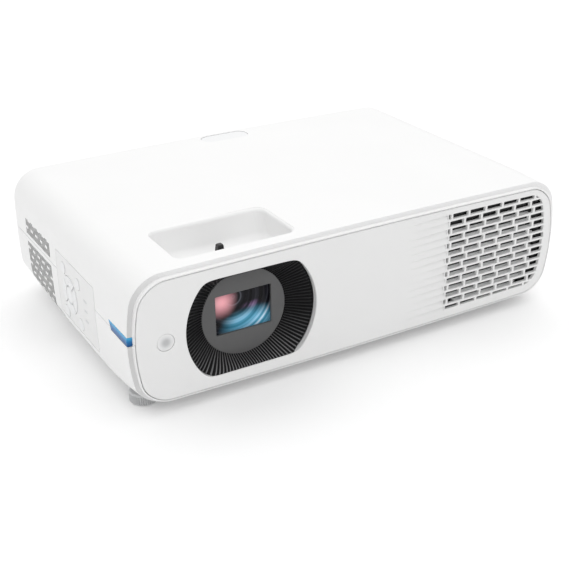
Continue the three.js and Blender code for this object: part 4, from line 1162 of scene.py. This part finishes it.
def make_enter_key():
    x0, x1 = span("enter_key", 0)
    profile = [(1.5, x0 + 0.3), (4.5, x0 + 0.16), (6.4, x0), (6.9, x0 + 0.15), (7.2, x0 + 0.5), (7.2, x1)]
    key = turned("enter_key_cap", profile, 0, (NAV_Y, NAV_Z), 64, KEY_WHITE)
    return ready(key, "enter_key", "key_white", "enter_key")


make_enter_key()

# ---- Feet ----


def make_wheel(side):
    node = f"front_{side}_foot_wheel"
    x, y = middle(node, 0), middle(node, 1)
    z0, z1 = span(node, 2)
    count = 40

    def scalloped(radius, depth):
        points = []
        for k in range(count * 4):
            angle = 2 * math.pi * k / (count * 4)
            reach = radius - 1.4 * depth * (0.0, 0.5, 1.0, 0.5)[k % 4]
            points.append((x + reach * math.cos(angle), y + reach * math.sin(angle)))
        return points

    levels = [(z0, 10.2, 0), (z0 + 0.5, 10.9, 0), (z0 + 1.4, 11.5, 0.0), (z0 + 1.8, 11.5, 0.8)]
    levels += [(z1 - 1.8, 11.5, 0.8), (z1 - 1.4, 11.5, 0.0), (z1 - 0.4, 11.1, 0), (z1, 10.6, 0)]
    wheel = stack(f"{side}_foot_wheel", 2, [(z, scalloped(r, d)) for z, r, d in levels], FOOT)
    cut(wheel, upright("bore", ring_points(4 + GAP, 32, x, y), 2, z1 + 5))
    return ready(paint(wheel, FOOT), f"front_{side}_foot_wheel", "foot_grey", node)


def make_stud(side):
    """A threaded stud, cut as closely spaced rings."""
    node = f"front_{side}_foot_stud"
    x, y = middle(node, 0), middle(node, 1)
    z0, z1 = span(node, 2)
    profile = [(3.2, z0), (3.95, z0 + 0.7)]
    z = z0 + 1.2
    while z < z1 - 1.6:
        profile += [(3.95, z), (3.35, z + 0.5), (3.95, z + 1.0)]
        z += 1.25
    profile += [(3.9, z1 - 0.6), (3.3, z1)]
    stud = turned(f"{side}_foot_stud", profile, 2, (x, y), 32, STEEL)
    return ready(stud, f"front_{side}_foot", "port_steel", node, degrees=25)


def make_pad(side):
    node = f"rear_{side}_foot_pad"
    x, y = middle(node, 0), middle(node, 1)
    z0, z1 = span(node, 2)
    profile = [(5.2, z0 + 0.5), (5.6, z0), (7.8, z0), (8.6, z0 + 0.4), (9.0, z0 + 1.2), (9.0, z1)]
    pad = turned(f"{side}_rear_pad", profile, 2, (x, y), 64, RUBBER)
    return ready(pad, "projector", "pad_rubber", node)


for side_name in ("left", "right"):
    make_wheel(side_name)
    make_stud(side_name)
    make_pad(side_name)

# ---- CAD nodes that stay, with a softened edge and a better material ----

KEPT = {
    BLACK: ["lens_barrel", "audio_jacks", "ac_inlet", "speaker_frame", "dmd_chip"],
    GLASS_DARK: ["zoom_lens", "rear_lens", "prism"],
    CAST: ["optical_engine_housing"],
    FIN: ["dmd_heatsink", "led_heatsink"],
    COPPER: ["heat_pipe"],
    BOARD: ["mainboard", "power_board", "dmd_board", "keypad_board"],
    STEEL: ["hdmi_port_1", "hdmi_port_2", "usb_port", "rs232_port"],
    PORT_BLUE: ["vga_port"],
    RUBBER: ["speaker_cone"],
    WINDOW: ["indicator_light_guide"],
}
FANS = ["exhaust_fan_frame", "exhaust_fan_impeller", "intake_fan_frame", "intake_fan_impeller"]
KEPT[BLACK] += FANS + ["rear_io_panel"]


def keep_node(node, material):
    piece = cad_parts[node]
    piece.data.materials.clear()
    piece.data.materials.append(material)
    bevelled(piece, 0.25)


for look, names in KEPT.items():
    for name in names:
        keep_node(name, look)
for color, look in LED_LOOKS.items():
    keep_node(f"led_module_{color}", look)

# ---- Floor, light and finish ----

DOME = {"horizon": 0.42, "zenith": 1.42}


def add_floor():
    mesh = bpy.data.meshes.new("floor")
    size = 6.0
    corners = [(-size, -size, 0), (size, -size, 0), (size, size, 0), (-size, size, 0)]
    mesh.from_pydata(corners, [], [(0, 1, 2, 3)])
    floor = bpy.data.objects.new("floor", mesh)
    bpy.context.scene.collection.objects.link(floor)
    paper = surface("floor", (0.93, 0.93, 0.93), 0.9, bump=0.0, tint=0.0, specular_ior_level=0.0)
    shader = paper.node_tree.nodes["Principled BSDF"]
    shader.inputs["Emission Color"].default_value = (1.0, 1.0, 1.0, 1.0)
    shader.inputs["Emission Strength"].default_value = 0.06
    mesh.materials.append(paper)


def add_area(name, place, target, width, height, watts):
    data = bpy.data.lights.new(name, "AREA")
    data.shape = "RECTANGLE"
    data.size, data.size_y = width, height
    data.energy = watts
    light = bpy.data.objects.new(name, data)
    light.location = place
    light.rotation_mode = "QUATERNION"
    light.rotation_quaternion = (Vector(target) - Vector(place)).to_track_quat("-Z", "Y")
    bpy.context.scene.collection.objects.link(light)


def add_light():
    """A soft dome, brightest overhead, and one large box behind and to the right."""
    scene = bpy.context.scene
    world = bpy.data.worlds.new("studio")
    world.use_nodes = True
    tree = world.node_tree
    place = add_node(tree, "ShaderNodeTexCoord")
    parts = add_node(tree, "ShaderNodeSeparateXYZ")
    tree.links.new(place.outputs["Generated"], parts.inputs["Vector"])
    glow = add_node(tree, "ShaderNodeMapRange")
    glow.inputs["To Min"].default_value = DOME["horizon"]
    glow.inputs["To Max"].default_value = DOME["zenith"]
    tree.links.new(parts.outputs["Z"], glow.inputs["Value"])
    tree.links.new(glow.outputs["Result"], tree.nodes["Background"].inputs["Strength"])
    tree.nodes["Background"].inputs["Color"].default_value = (1, 1, 1, 1)
    scene.world = world
    scene.view_settings.view_transform = "Standard"
    add_area("back_box", (0.9, 1.1, 1.6), (0, 0, 0.06), 1.6, 1.2, 3)


add_floor()
add_light()
